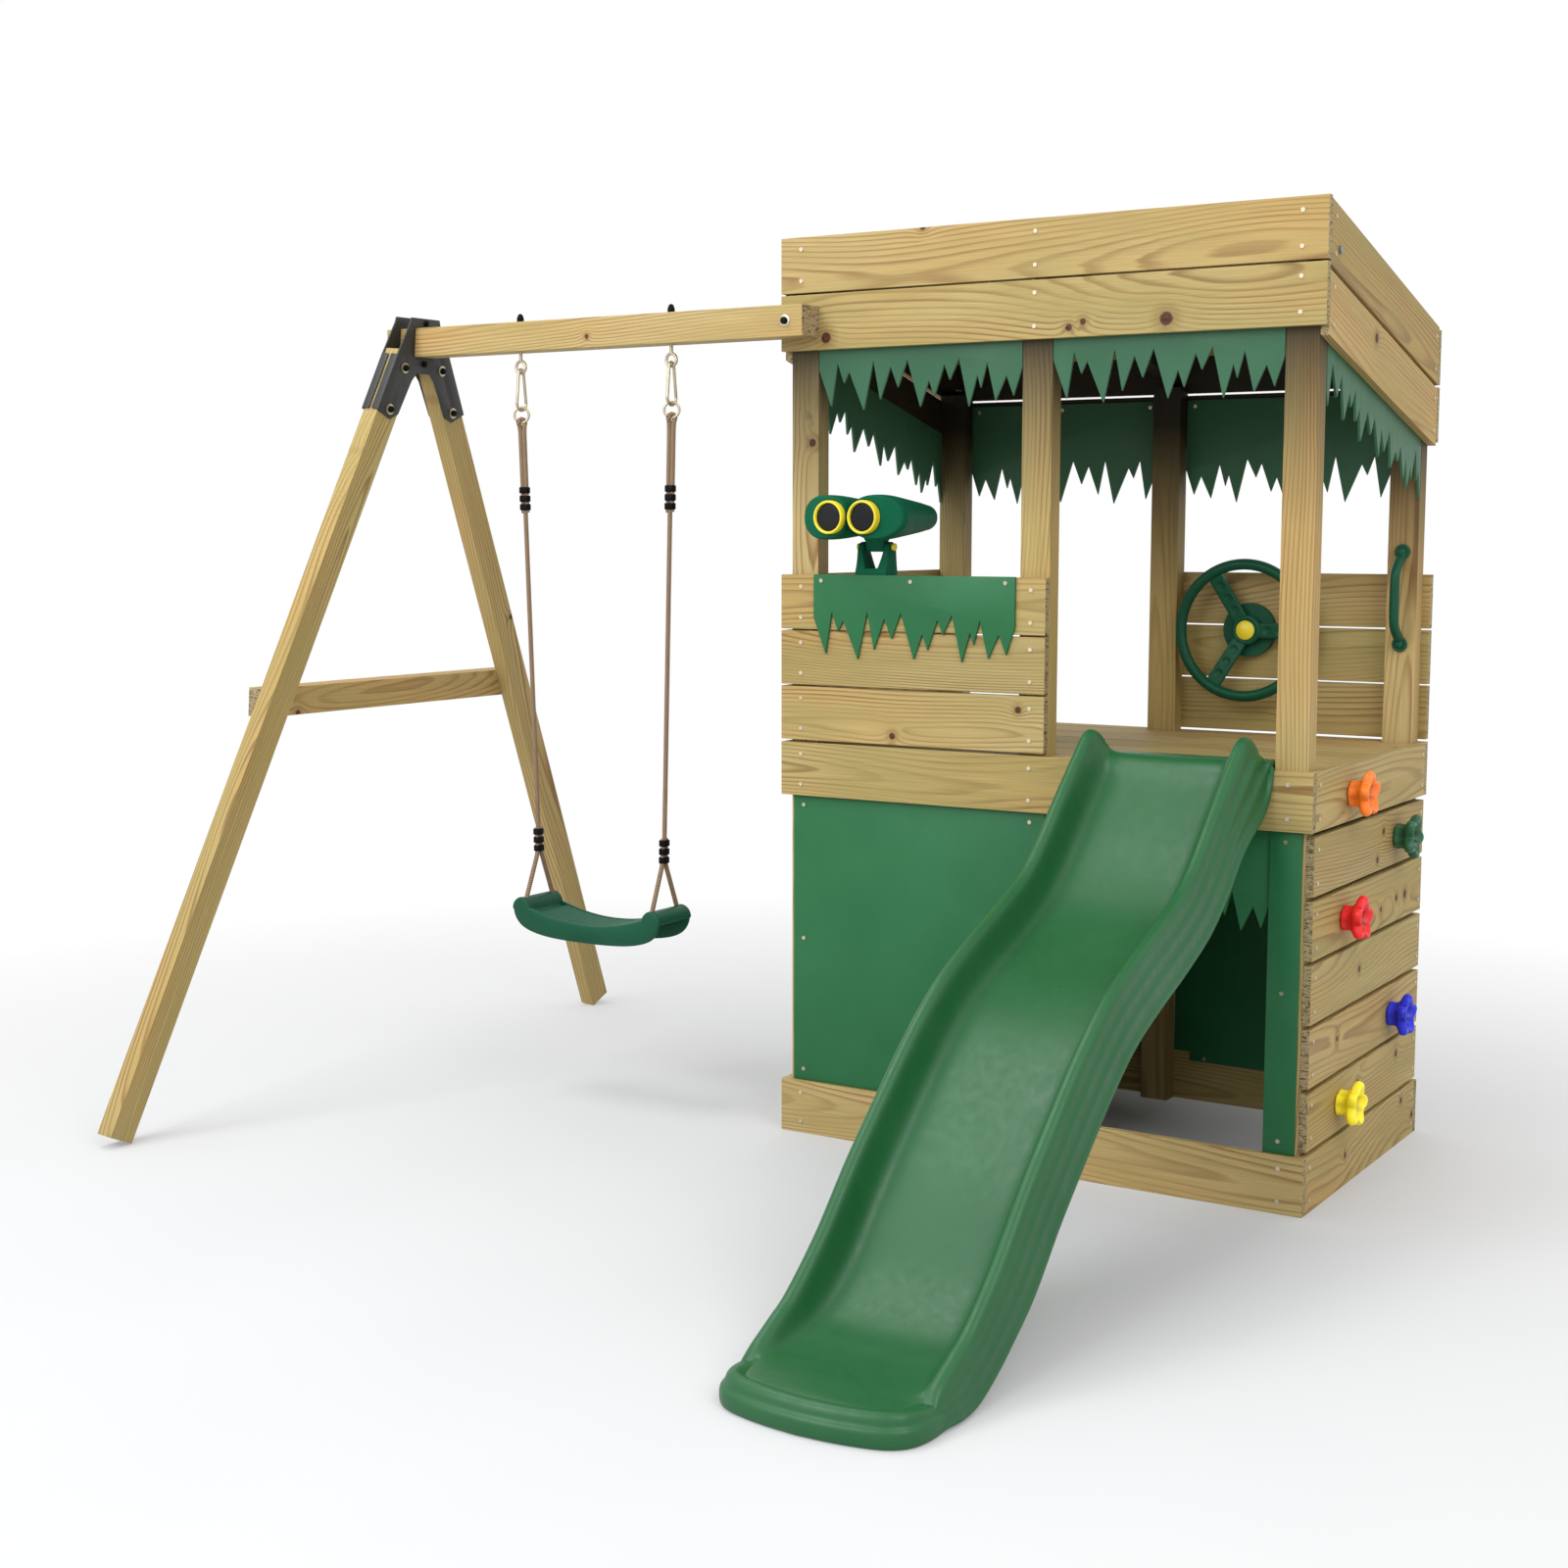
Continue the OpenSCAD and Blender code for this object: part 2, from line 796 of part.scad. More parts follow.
module steering_wheel() {
    reach = wheel_r - rim_r;
    spoke_dy = rim_y - (hub_y + hub_back) / 2 - 2;
    spoke_a = atan(spoke_dy / (reach - hub_r + 6));
    color(dark_green) {
        translate([wheel_x, rim_y, wheel_z])
            rotate([90, 0, 0])
                rotate_extrude($fn = 96)
                    translate([reach, 0])
                        circle(r = rim_r);
        difference() {
            union() {
                rod_y([wheel_x, hub_y, wheel_z], hub_r, hub_back - hub_y);
                for (a = [0, 120, 240])
                    translate([wheel_x, (hub_y + hub_back) / 2, wheel_z])
                        rotate([0, -a, 0])
                            translate([hub_r - 6, 0, 0])
                                rotate([0, 0, spoke_a])
                                    box([0, -5, -14], [reach - hub_r + 8, 5, 14]);
            }
            rod_y([wheel_x, hub_y - 1, wheel_z], axle_r + run_clear, 40);
        }
    }
}

module wheel_cap() {
    color(yellow)
        translate([wheel_x, hub_y, wheel_z])
            rotate([90, 0, 0])
                intersection() {
                    cylinder(r = 22, h = 10);
                    translate([0, 0, -30])
                        sphere(r = 38, $fn = 48);
                }
}

// ---------------------------------------------------------------- grab handle

handle_z = [1117, 1322];
handle_out = 616;
elbow_r = 30;

module grab_handle() {
    wall = rear_y - post_d / 2;
    color(dark_green) {
        translate([post_x, handle_out, handle_z[0] + elbow_r])
            cylinder(r = grip_r, h = handle_z[1] - handle_z[0] - 2 * elbow_r);
        translate([post_x, handle_out + elbow_r, 0])
            for (z = handle_z) {
                rod_y([0, 0, z], grip_r, wall - handle_out - elbow_r);
                rod_y([0, wall - handle_out - elbow_r - 5, z], 17, 5);
            }
        intersection() {
            union() {
                ring_x(handle_z[1] - elbow_r);
                ring_x(handle_z[0] + elbow_r);
            }
            union() {
                box([post_x - 20, 500, handle_z[1] - elbow_r],
                    [post_x + 20, handle_out + elbow_r, far]);
                box([post_x - 20, 500, 0],
                    [post_x + 20, handle_out + elbow_r, handle_z[0] + elbow_r]);
            }
        }
    }
}

// Full bend of the handle's tube round an axis along X
module ring_x(z) {
    translate([post_x, handle_out + elbow_r, z])
        rotate([0, 90, 0])
            rotate_extrude($fn = 64)
                translate([elbow_r, 0])
                    circle(r = grip_r, $fn = 32);
}

// ---------------------------------------------------------------- swing

swing_x = -1105.5 - 3;
pivot_z = 1738;
wire_r = 3.5;
eye_r = 14;
link_top_r = 9;
link_low_r = 17;
link_low_z = 1668;
ring_r = 17.5;
ring_z = 1640.5;
seat_x = -1105.5;
seat_reach = 186;
clamp_top = 1471;
clamp_low = 653;
seat_end = 486;
strand = rope_d / 2;

function hanger_x(s) = swing_x + s * hanger_span / 2;
// Rope centre at a height: straight from the ring down to the lower clamps
function rope_x(s, z) =
    let (k = (ring_z - z) / (ring_z - clamp_low))
    hanger_x(s) + k * (seat_x + s * (seat_reach + 1) - hanger_x(s));

module torus_y(p, big, small) {
    translate(p)
        rotate([90, 0, 0])
            rotate_extrude($fn = 48)
                translate([big, 0])
                    circle(r = small, $fn = 24);
}

module hanger_bolts() {
    color(zinc)
        for (s = [-1, 1])
            translate([hanger_x(s), beam_y, 0]) {
                torus_y([0, 0, pivot_z + eye_r], eye_r, wire_r);
                translate([0, 0, pivot_z + 2 * eye_r])
                    cylinder(r = bolt_r, h = beam_z + beam_s / 2 + 8 - pivot_z - 2 * eye_r);
                translate([0, 0, beam_z - beam_s / 2 - 2])
                    cylinder(r = 9, h = 2);
                translate([0, 0, beam_z + beam_s / 2])
                    cylinder(r = 11, h = 2);
                color("black")
                    translate([0, 0, beam_z + beam_s / 2 + 2])
                        cylinder(r1 = 7.5, r2 = 5, h = 15);
            }
}

// Part of a ring in the YZ plane: the half that lies above or below its centre
module half_ring(z, big, side) {
    intersection() {
        translate([0, 0, z])
            rotate([0, 90, 0])
                rotate_extrude($fn = 48)
                    translate([big, 0])
                        circle(r = wire_r, $fn = 24);
        translate([-20, -60, side > 0 ? z : z - 60])
            cube([40, 120, 60]);
    }
}

module swing_links() {
    color(zinc)
        for (s = [-1, 1])
            translate([hanger_x(s), beam_y, 0]) {
                // Pear-shaped snap link through the eye
                half_ring(pivot_z, link_top_r, 1);
                half_ring(link_low_z, link_low_r, -1);
                for (a = [-1, 1])
                    strut([0, a * link_low_r, link_low_z], [0, a * link_top_r, pivot_z], wire_r);
                // Round ring that holds the rope
                rotate([0, 0, 25])
                    torus_y([0, 0, ring_z], ring_r, 3);
            }
}

module ropes() {
    color("peru")
        for (s = [-1, 1]) {
            top = ring_z - ring_r - 4;
            mid = clamp_top - 58;
            // Two strands side by side down to the upper clamps
            for (a = [-1, 1])
                strut([rope_x(s, mid) + a * strand, beam_y, mid],
                    [rope_x(s, top) + a * strand, beam_y, top], strand);
            // Single strand
            strut([rope_x(s, clamp_low), beam_y, clamp_low],
                [rope_x(s, mid + 20), beam_y, mid + 20], strand);
            // Two strands through the lower clamps, then spread to the seat
            for (a = [-1, 1]) {
                split = clamp_low - 55;
                strut([rope_x(s, split), beam_y + a * strand, split],
                    [rope_x(s, clamp_low), beam_y + a * strand, clamp_low + 4], strand);
                strut([seat_x + s * seat_reach, beam_y + a * 50, seat_end],
                    [rope_x(s, split), beam_y + a * strand, split + 1], strand);
            }
        }
}

module clamp_row(s, z, turn) {
    for (i = [0 : 2])
        translate([rope_x(s, z - 7 - 20 * i), beam_y, z - 15 - 20 * i])
            rotate([0, 0, turn])
                intersection() {
                    translate([-strand - 7.5, -9, 0])
                        cube([rope_d + 15, 18, 15]);
                    cylinder(r = strand + 7.5, h = 15);
                }
}

module rope_clamps() {
    color("black")
        for (s = [-1, 1]) {
            clamp_row(s, clamp_top, 0);
            clamp_row(s, clamp_low, 90);
        }
}

seat_top = 438;
seat_sag = 37;
roll_r = 24;
roll_x = seat_w / 2 - roll_r;
seat_r = (roll_x * roll_x + seat_sag * seat_sag) / (2 * seat_sag);

// Band of the seat's arc between two depths below its upper face
module seat_band(d0, d1, y0, y1) {
    translate([seat_x, y1, seat_top + seat_r])
        rotate([90, 0, 0])
            linear_extrude(y1 - y0)
                intersection() {
                    difference() {
                        circle(r = seat_r + d1, $fn = 180);
                        circle(r = seat_r + d0, $fn = 180);
                    }
                    translate([-roll_x, -seat_r - 60])
                        square([2 * roll_x, seat_sag + 60]);
                }
}

module swing_seat() {
    y0 = beam_y - seat_d / 2;
    y1 = beam_y + seat_d / 2;
    color(dark_green)
        difference() {
            union() {
                seat_band(0, 8, y0, y1);
                seat_band(0, 36, y0, y0 + 8);
                seat_band(0, 36, y1 - 8, y1);
                for (s = [-1, 1])
                    rod_y([seat_x + s * roll_x, y0, seat_top + seat_sag - 6],
                        roll_r, seat_d);
            }
            // Rope holes and the hollow of each roll
            for (s = [-1, 1]) {
                rod_y([seat_x + s * roll_x, y0 + 10, seat_top + seat_sag - 6],
                    roll_r - 8, seat_d - 20);
                for (a = [-1, 1])
                    translate([seat_x + s * seat_reach, beam_y + a * 50, seat_top + 20])
                        cylinder(r = strand + 1.5, h = 60);
            }
        }
}

// ---------------------------------------------------------------- screws

screw_r = 4.5;
head_h = 1.6;

// A screw whose head rests on p and whose shank goes in along dir (a unit vector)
module screw(p, dir, len_in) {
    strut(p - dir * head_h, p, screw_r);
    strut(p - dir * head_h, p + dir * len_in, 2);
}

edge_in = 26;

module screw_pair_front(x, z, y, dir) {
    for (dz = [edge_in, plank_w - edge_in])
        screw([x, y, z + dz], [0, dir, 0], 45);
}

module plank_screws() {
    posts = [-post_x, 0, post_x];
    color(zinc) {
        for (x = posts) {
            // The beam's bolt holds the lower fascia plank at the left post
            for (z = [0, deck_low, fascia_z, fascia_z + rail_pitch])
                if (x != -post_x || z != fascia_z)
                    screw_pair_front(x, z, y_front, 1);
            for (z = [0, deck_low, rear_fascia_z, rear_fascia_z + rail_pitch + 1])
                screw_pair_front(x, z, y_back, -1);
        }
        for (i = [0 : 2]) {
            z = rail_z + i * rail_pitch;
            for (x = [-post_x, 0])
                screw_pair_front(x, z, y_front, 1);
            for (x = [0, post_x])
                screw_pair_front(x, z, y_back, -1);
        }
        for (y = [0, rear_y], dz = [edge_in, plank_w - edge_in]) {
            for (n = [0 : 6])
                screw([half_w, y, n * wall_pitch + dz], [-1, 0, 0], 45);
            for (z = [0, deck_low, rail_z, rail_z + rail_pitch, rail_z + 2 * rail_pitch])
                screw([-half_w, y, z + dz], [1, 0, 0], 45);
            for (s = [-1, 1], drop = [0, plank_w + wall_gap])
                screw([s * half_w, y, roof_z(y) - (drop + dz) / cos(roof_slope)],
                    [-s, 0, 0], 30);
        }
    }
}

module panel_screws() {
    color(zinc) {
        for (z = screw_z, x = [-post_x + 1, -2, post_x - 6])
            screw([x, y_in - panel_t, z], [0, 1, 0], 25);
        for (dx = [-227.5, -2.5, 225.5]) {
            screw([-bay_x + 1 + dx, y_front - panel_t, rail_top - 12], [0, 1, 0], 18);
            for (s = [-1, 1])
                screw([s * bay_x + dx, y_rear_in - panel_t, rear_fascia_z + 95], [0, 1, 0], 18);
        }
        for (s = [-1, 1], x = [-170, 170], z = [plank_w - 14, deck_low + 12])
            screw([s * bay_x + x, y_rear_in - panel_t, z], [0, 1, 0], 18);
        // Screws that hold the slide's flange to the deck
        for (s = [-1, 1])
            screw([slide_x + s * 187, -2, lip_top], [0, 0, -1], 40);
    }
}

post(-post_x, 0, front_post_top);  // front_post_left
post(0, 0, front_post_top);  // front_post_middle
post(post_x, 0, front_post_top);  // front_post_right
rear_posts();
edge_planks(0);  // base_planks
climb_plank(1);  // climb_plank_1
climb_plank(2);  // climb_plank_2
climb_plank(3);  // climb_plank_3
climb_plank(4);  // climb_plank_4
climb_plank(5);  // climb_plank_5
climb_plank(6);  // climb_plank_6
climb_plank(7);  // climb_plank_7
edge_planks(deck_low);  // deck_edge_planks
deck_boards();
deck_joists();
window_planks();
rear_rail_planks();
left_rail_planks();
front_fascia_planks();
rear_fascia_planks();
side_fascia_planks();
roof_boards();
roof_rafters();
front_panel();
front_strip();
rear_panels();
left_panel();
window_leaf_panel();
front_leaf_panels();
rear_leaf_panels();
side_leaf_panels();
door_leaf_panel();
slide();
swing_beam();
swing_leg(-1);  // swing_leg_front
swing_leg(1);  // swing_leg_rear
leg_crossbar();
apex_brackets();
frame_bolts();
hold(0);  // hold_orange
hold(1);  // hold_green
hold(2);  // hold_red
hold(3);  // hold_blue
hold(4);  // hold_yellow
hold_bolts();
binocular_bracket();
binocular_body();
binocular_lenses();
binocular_bolt();
wheel_base();
steering_wheel();
wheel_cap();
grab_handle();
hanger_bolts();
swing_links();
ropes();
rope_clamps();
swing_seat();
plank_screws();
panel_screws();
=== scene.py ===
import json
import math
import random

import bmesh
import bpy
from mathutils import Matrix, Vector

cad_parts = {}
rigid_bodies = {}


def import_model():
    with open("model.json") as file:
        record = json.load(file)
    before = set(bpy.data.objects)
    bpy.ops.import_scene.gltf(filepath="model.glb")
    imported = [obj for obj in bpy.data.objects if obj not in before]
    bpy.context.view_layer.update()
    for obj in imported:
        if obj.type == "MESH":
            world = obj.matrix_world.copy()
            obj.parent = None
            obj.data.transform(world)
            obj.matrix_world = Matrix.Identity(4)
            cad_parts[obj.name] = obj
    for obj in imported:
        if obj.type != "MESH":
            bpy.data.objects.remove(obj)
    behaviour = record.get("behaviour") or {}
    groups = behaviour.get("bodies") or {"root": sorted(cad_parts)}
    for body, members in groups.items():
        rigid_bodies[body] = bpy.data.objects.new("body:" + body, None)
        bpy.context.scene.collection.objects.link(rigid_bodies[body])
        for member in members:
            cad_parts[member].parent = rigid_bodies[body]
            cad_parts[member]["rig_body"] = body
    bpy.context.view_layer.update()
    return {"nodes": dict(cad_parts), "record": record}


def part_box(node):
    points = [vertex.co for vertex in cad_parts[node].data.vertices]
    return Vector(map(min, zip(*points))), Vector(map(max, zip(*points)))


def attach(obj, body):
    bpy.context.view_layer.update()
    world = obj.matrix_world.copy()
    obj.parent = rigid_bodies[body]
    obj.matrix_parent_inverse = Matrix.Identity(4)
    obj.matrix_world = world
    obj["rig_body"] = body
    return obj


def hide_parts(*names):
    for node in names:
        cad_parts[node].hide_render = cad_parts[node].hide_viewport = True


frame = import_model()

nodes = frame["nodes"]
TAU = 2 * math.pi


# ---- camera

CAMERA_PLACE = (2.0309, -4.2042, 1.3737)
CAMERA_YAW = math.radians(32.386)
CAMERA_DOWN = math.radians(6.638)
SENSOR_MM = 36.0
LENS_MM = 50.46


def add_object(name, data):
    """Links a new object for mesh, light or camera data into the scene."""
    obj = bpy.data.objects.new(name, data)
    bpy.context.scene.collection.objects.link(obj)
    return obj


def make_camera():
    """Camera in front of the tower and to its right, a little below an adult's eyes."""
    data = bpy.data.cameras.new("camera")
    data.sensor_width = SENSOR_MM
    data.lens = LENS_MM
    cam = add_object("camera", data)
    cam.location = CAMERA_PLACE
    cam.rotation_euler = (math.pi / 2 - CAMERA_DOWN, 0, CAMERA_YAW)
    bpy.context.scene.camera = cam


make_camera()


# ---- node helpers

# The roof boards' underside (its height at the front posts and its fall to the back) and the
# tower's inner faces, in metres, that bound the shade painted under the roof
ROOF_UNDER = 1.985
ROOF_FALL = -0.2568
BOARD_DEPTH = 0.0299
INSIDE_HALF_WIDTH = 0.6000
INSIDE_FRONT = -0.0225
INSIDE_BACK = 0.7125
SHADE_FROM, SHADE_TO = 0.20, 0.62


class Shader:
    """Small helper that builds one node material."""

    def __init__(self, name):
        self.mat = bpy.data.materials.new(name)
        self.mat.use_nodes = True
        self.tree = self.mat.node_tree
        self.bsdf = self.tree.nodes["Principled BSDF"]

    def node(self, kind, **values):
        n = self.tree.nodes.new("ShaderNode" + kind)
        for key, value in values.items():
            setattr(n, key, value)
        return n

    def put(self, socket, value):
        if isinstance(value, bpy.types.NodeSocket):
            self.tree.links.new(value, socket)
        else:
            socket.default_value = value

    def math(self, op, a, b=0.0, c=0.0, clamp=False):
        n = self.node("Math", operation=op, use_clamp=clamp)
        for i, v in enumerate((a, b, c)):
            self.put(n.inputs[i], v)
        return n.outputs[0]

    def mul(self, a, b):
        return self.math("MULTIPLY", a, b)

    def add(self, a, b):
        return self.math("ADD", a, b)

    def sub(self, a, b):
        return self.math("SUBTRACT", a, b)

    def vec(self, op, a, b=(0, 0, 0)):
        n = self.node("VectorMath", operation=op)
        self.put(n.inputs[0], a)
        self.put(n.inputs[1], b)
        return n.outputs["Vector"]

    def scaled(self, v, factors):
        return self.vec("MULTIPLY", v, factors)

    def length(self, a):
        n = self.node("VectorMath", operation="LENGTH")
        self.put(n.inputs[0], a)
        return n.outputs["Value"]

    def split(self, v):
        n = self.node("SeparateXYZ")
        self.put(n.inputs[0], v)
        return n.outputs

    def join(self, x, y, z):
        n = self.node("CombineXYZ")
        for i, v in enumerate((x, y, z)):
            self.put(n.inputs[i], v)
        return n.outputs[0]

    def noise(self, vector, scale, detail=2.0, rough=0.5, output="Fac"):
        n = self.node("TexNoise")
        self.put(n.inputs["Vector"], vector)
        n.inputs["Scale"].default_value = scale
        n.inputs["Detail"].default_value = detail
        n.inputs["Roughness"].default_value = rough
        return n.outputs[output]

    def ramp(self, fac, stops):
        n = self.node("ValToRGB")
        self.put(n.inputs[0], fac)
        ramp = n.color_ramp
        while len(ramp.elements) < len(stops):
            ramp.elements.new(0.5)
        for e, (pos, col) in zip(ramp.elements, stops):
            e.position = pos
            e.color = (*col, 1) if len(col) == 3 else col
        return n.outputs[0]

    def remap(self, v, a, b, c=0.0, d=1.0):
        n = self.node("MapRange")
        self.put(n.inputs[0], v)
        for i, x in enumerate((a, b, c, d)):
            n.inputs[i + 1].default_value = x
        return n.outputs[0]

    def mix(self, fac, a, b, blend="MIX"):
        n = self.node("Mix", data_type="RGBA", blend_type=blend)
        self.put(n.inputs["Factor"], fac)
        self.put(n.inputs[6], a if isinstance(a, bpy.types.NodeSocket) else (*a, 1))
        self.put(n.inputs[7], b if isinstance(b, bpy.types.NodeSocket) else (*b, 1))
        return n.outputs[2]

    def bump(self, height, strength, distance, normal=None):
        n = self.node("Bump")
        n.inputs["Strength"].default_value = strength
        n.inputs["Distance"].default_value = distance
        self.put(n.inputs["Height"], height)
        if normal is not None:
            self.put(n.inputs["Normal"], normal)
        return n.outputs[0]

    def coords(self):
        return self.node("TexCoord").outputs["Object"]

    def attribute(self, name, output="Fac"):
        return self.node("Attribute", attribute_name=name).outputs[output]

    def paint_roof_shade(self, colour, low=0.04):
        """Paints shade on surfaces inside the tower, darker towards the underside of its roof."""
        x, y, z = self.split(self.coords())
        roof = self.math("MULTIPLY_ADD", y, ROOF_FALL, ROOF_UNDER)
        below = self.sub(roof, z)
        inside = self.math("LESS_THAN", self.math("ABSOLUTE", x), INSIDE_HALF_WIDTH)
        for test in (self.math("GREATER_THAN", y, INSIDE_FRONT),
                     self.math("LESS_THAN", y, INSIDE_BACK),
                     self.math("GREATER_THAN", below, BOARD_DEPTH)):
            inside = self.mul(inside, test)
        # Share of the colour kept: painted shade, darkest just under the roof
        kept = self.math("MAXIMUM", self.remap(below, SHADE_FROM, SHADE_TO, low, 1.0),
                          self.sub(1.0, inside))
        grey = self.join(kept, kept, kept)
        return self.mix(1.0, colour, grey, "MULTIPLY")

    def spread(self, v, amount):
        """A 0 to 1 noise turned into plus or minus half the amount."""
        return self.mul(self.sub(v, 0.5), amount)

    def finish(self, **inputs):
        """Sets the surface's inputs, with spaces as underscores, and returns the material."""
        for key, value in inputs.items():
            name = key.replace("_", " ")
            if isinstance(value, tuple) and len(value) == 3:
                value = (*value, 1)
            self.put(self.bsdf.inputs[name], value)
        return self.mat


# ---- materials

# Knots that stand out: (x, y, z, radius) in metres
KNOTS = [
    (0.290, -0.040, 1.788, 0.0125), (0.109, -0.040, 1.791, 0.006), (-0.502, -0.040, 1.786, 0.011),
    (-0.547, -0.022, 1.561, 0.008), (0.618, 0.271, 1.757, 0.009), (0.618, 0.422, 0.729, 0.006),
    (0.618, 0.293, 0.206, 0.007), (0.618, 0.698, 0.045, 0.007), (0.618, 0.590, 0.570, 0.009),
    (0.618, 0.562, 0.215, 0.007), (0.618, 0.225, 0.065, 0.006), (0.618, 0.420, 0.560, 0.006),
    (0.618, 0.150, 0.330, 0.006), (-1.105, -0.108, 1.812, 0.005),
]

# Year rings, and the share of random knots; a knot's heart and dark rim as distances in metres
RINGS_PER_METRE = 132.0
KNOT_SHARE = 0.13
KNOT_HEART = 0.0085
KNOT_RIM = 0.0095


def timber_material(name, pale, dark, tint):
    """Planed softwood. The 'grain' attribute holds each piece's own coordinates in metres:
    along the grain, then across and into the board measured from the log's pith."""
    s = Shader(name)
    grain = s.attribute("grain", "Vector")
    end = s.attribute("endgrain")
    shade = s.attribute("shade")
    _u, v, w = s.split(grain)

    def streaks(along, across, detail=2.0, rough=0.5):
        """Noise drawn out along the grain."""
        return s.noise(s.scaled(grain, (along, across, across)), 1.0, detail, rough)

    wander = s.split(s.noise(s.scaled(grain, (0.9, 2.2, 2.2)), 1.0, 1.0, output="Color"))
    # Knots: the listed ones and a few more, and the rings bend round them
    stretched = s.scaled(grain, (3.1, 7.5, 2.0))
    cell = s.node("TexVoronoi", voronoi_dimensions="3D", feature="F1")
    s.put(cell.inputs["Vector"], stretched)
    cell.inputs["Scale"].default_value = 1.0
    cell.inputs["Randomness"].default_value = 0.9
    pick = s.split(cell.outputs["Color"])[0]
    skip = s.math("LESS_THAN", pick, 1 - KNOT_SHARE)
    offset = s.vec("SUBTRACT", stretched, cell.outputs["Position"])
    du, dv, _dw = s.split(offset)
    knot_uv = s.join(s.mul(du, 0.32), s.mul(dv, 0.133), 0.0)
    knot_d = s.add(s.mul(s.length(knot_uv), 1.5), s.mul(skip, 9.0))
    place = s.coords()
    for x, y, z, size in KNOTS:
        d = s.length(s.vec("SUBTRACT", place, (x, y, z)))
        knot_d = s.math("MINIMUM", knot_d, s.mul(d, 0.010 / size))
    ragged = s.noise(grain, 160.0, 3.0, 0.6)
    knot_d = s.add(knot_d, s.spread(ragged, 0.004))
    swirl = s.mul(s.math("EXPONENT", s.mul(knot_d, -45.0)), 0.019)
    # Distance from the pith, which wanders along the log
    pv = s.add(v, s.spread(wander[0], 0.140))
    pw = s.add(w, s.spread(wander[1], 0.110))
    ring = s.length(s.join(pv, pw, 0.0))
    fine = streaks(2.5, 60.0)
    ring = s.add(ring, s.spread(fine, 0.0038))
    ring = s.add(ring, swirl)
    phase = s.math("FRACT", s.mul(ring, RINGS_PER_METRE))
    late = s.ramp(phase, [
        (0.0, (0.02, 0.02, 0.02)), (0.50, (0.12, 0.12, 0.12)), (0.80, (1, 1, 1)),
        (0.90, (0.9, 0.9, 0.9)), (1.0, (0, 0, 0))
    ])
    strength = streaks(1.2, 22.0)
    late = s.mul(late, s.remap(strength, 0.32, 0.66, 0.45, 1.0))
    # Fibres: long thin streaks
    fibre = streaks(7.0, 430.0, rough=0.6)
    blotch = streaks(2.2, 12.0)
    red = streaks(1.0, 5.0)
    reddish = tuple(c * k for c, k in zip(pale, (1.0, 0.86, 0.72)))
    early = s.mix(s.remap(red, 0.38, 0.62), pale, reddish)
    colour = s.mix(s.mul(late, 0.92), early, dark)
    colour = s.mix(s.remap(blotch, 0.42, 0.70, 0.0, 0.75), colour, tint)
    colour = s.mix(s.remap(fibre, 0.3, 0.7, 0.24, 0.0), colour, (0.08, 0.05, 0.018))
    halo = s.remap(knot_d, 0.009, 0.032, 0.6, 0.0)
    colour = s.mix(halo, colour, (0.20, 0.10, 0.035))
    rim = s.math("COMPARE", knot_d, KNOT_RIM, 0.0016)
    colour = s.mix(s.mul(rim, 0.75), colour, (0.018, 0.014, 0.010))
    heart = s.math("LESS_THAN", knot_d, KNOT_HEART)
    colour = s.mix(heart, colour, s.ramp(ragged, [
        (0.35, (0.02, 0.007, 0.004)), (0.65, (0.11, 0.030, 0.014))
    ]))
    # End grain is darker and coarser
    speck = s.noise(grain, 420.0, 2.0, 0.8)
    saw = s.noise(s.scaled(grain, (90.0, 240.0, 60.0)), 1.0, 2.0, 0.7)
    cut = s.mix(s.remap(speck, 0.34, 0.50), (0.040, 0.026, 0.011), (0.36, 0.28, 0.15))
    cut = s.mix(s.remap(saw, 0.52, 0.62, 0.0, 0.85), cut, (0.055, 0.036, 0.016))
    colour = s.mix(end, colour, cut)
    colour = s.mix(1.0, colour, s.ramp(shade, [
        (0.0, (0.84, 0.83, 0.78)), (0.35, (0.96, 0.99, 0.92)), (0.7, (1.03, 0.99, 0.97)),
        (1.0, (1.12, 1.10, 1.12))
    ]), "MULTIPLY")
    # Painted shade under the roof
    colour = s.paint_roof_shade(colour)
    height = s.add(s.mul(late, 0.5), s.mul(fibre, 0.6))
    height = s.add(height, s.mul(s.mul(speck, end), 3.0))
    normal = s.bump(height, 0.35, 0.0012)
    return s.finish(Base_Color=colour, Roughness=s.remap(late, 0, 1, 0.66, 0.52),
                    Specular_IOR_Level=0.25, Normal=normal)


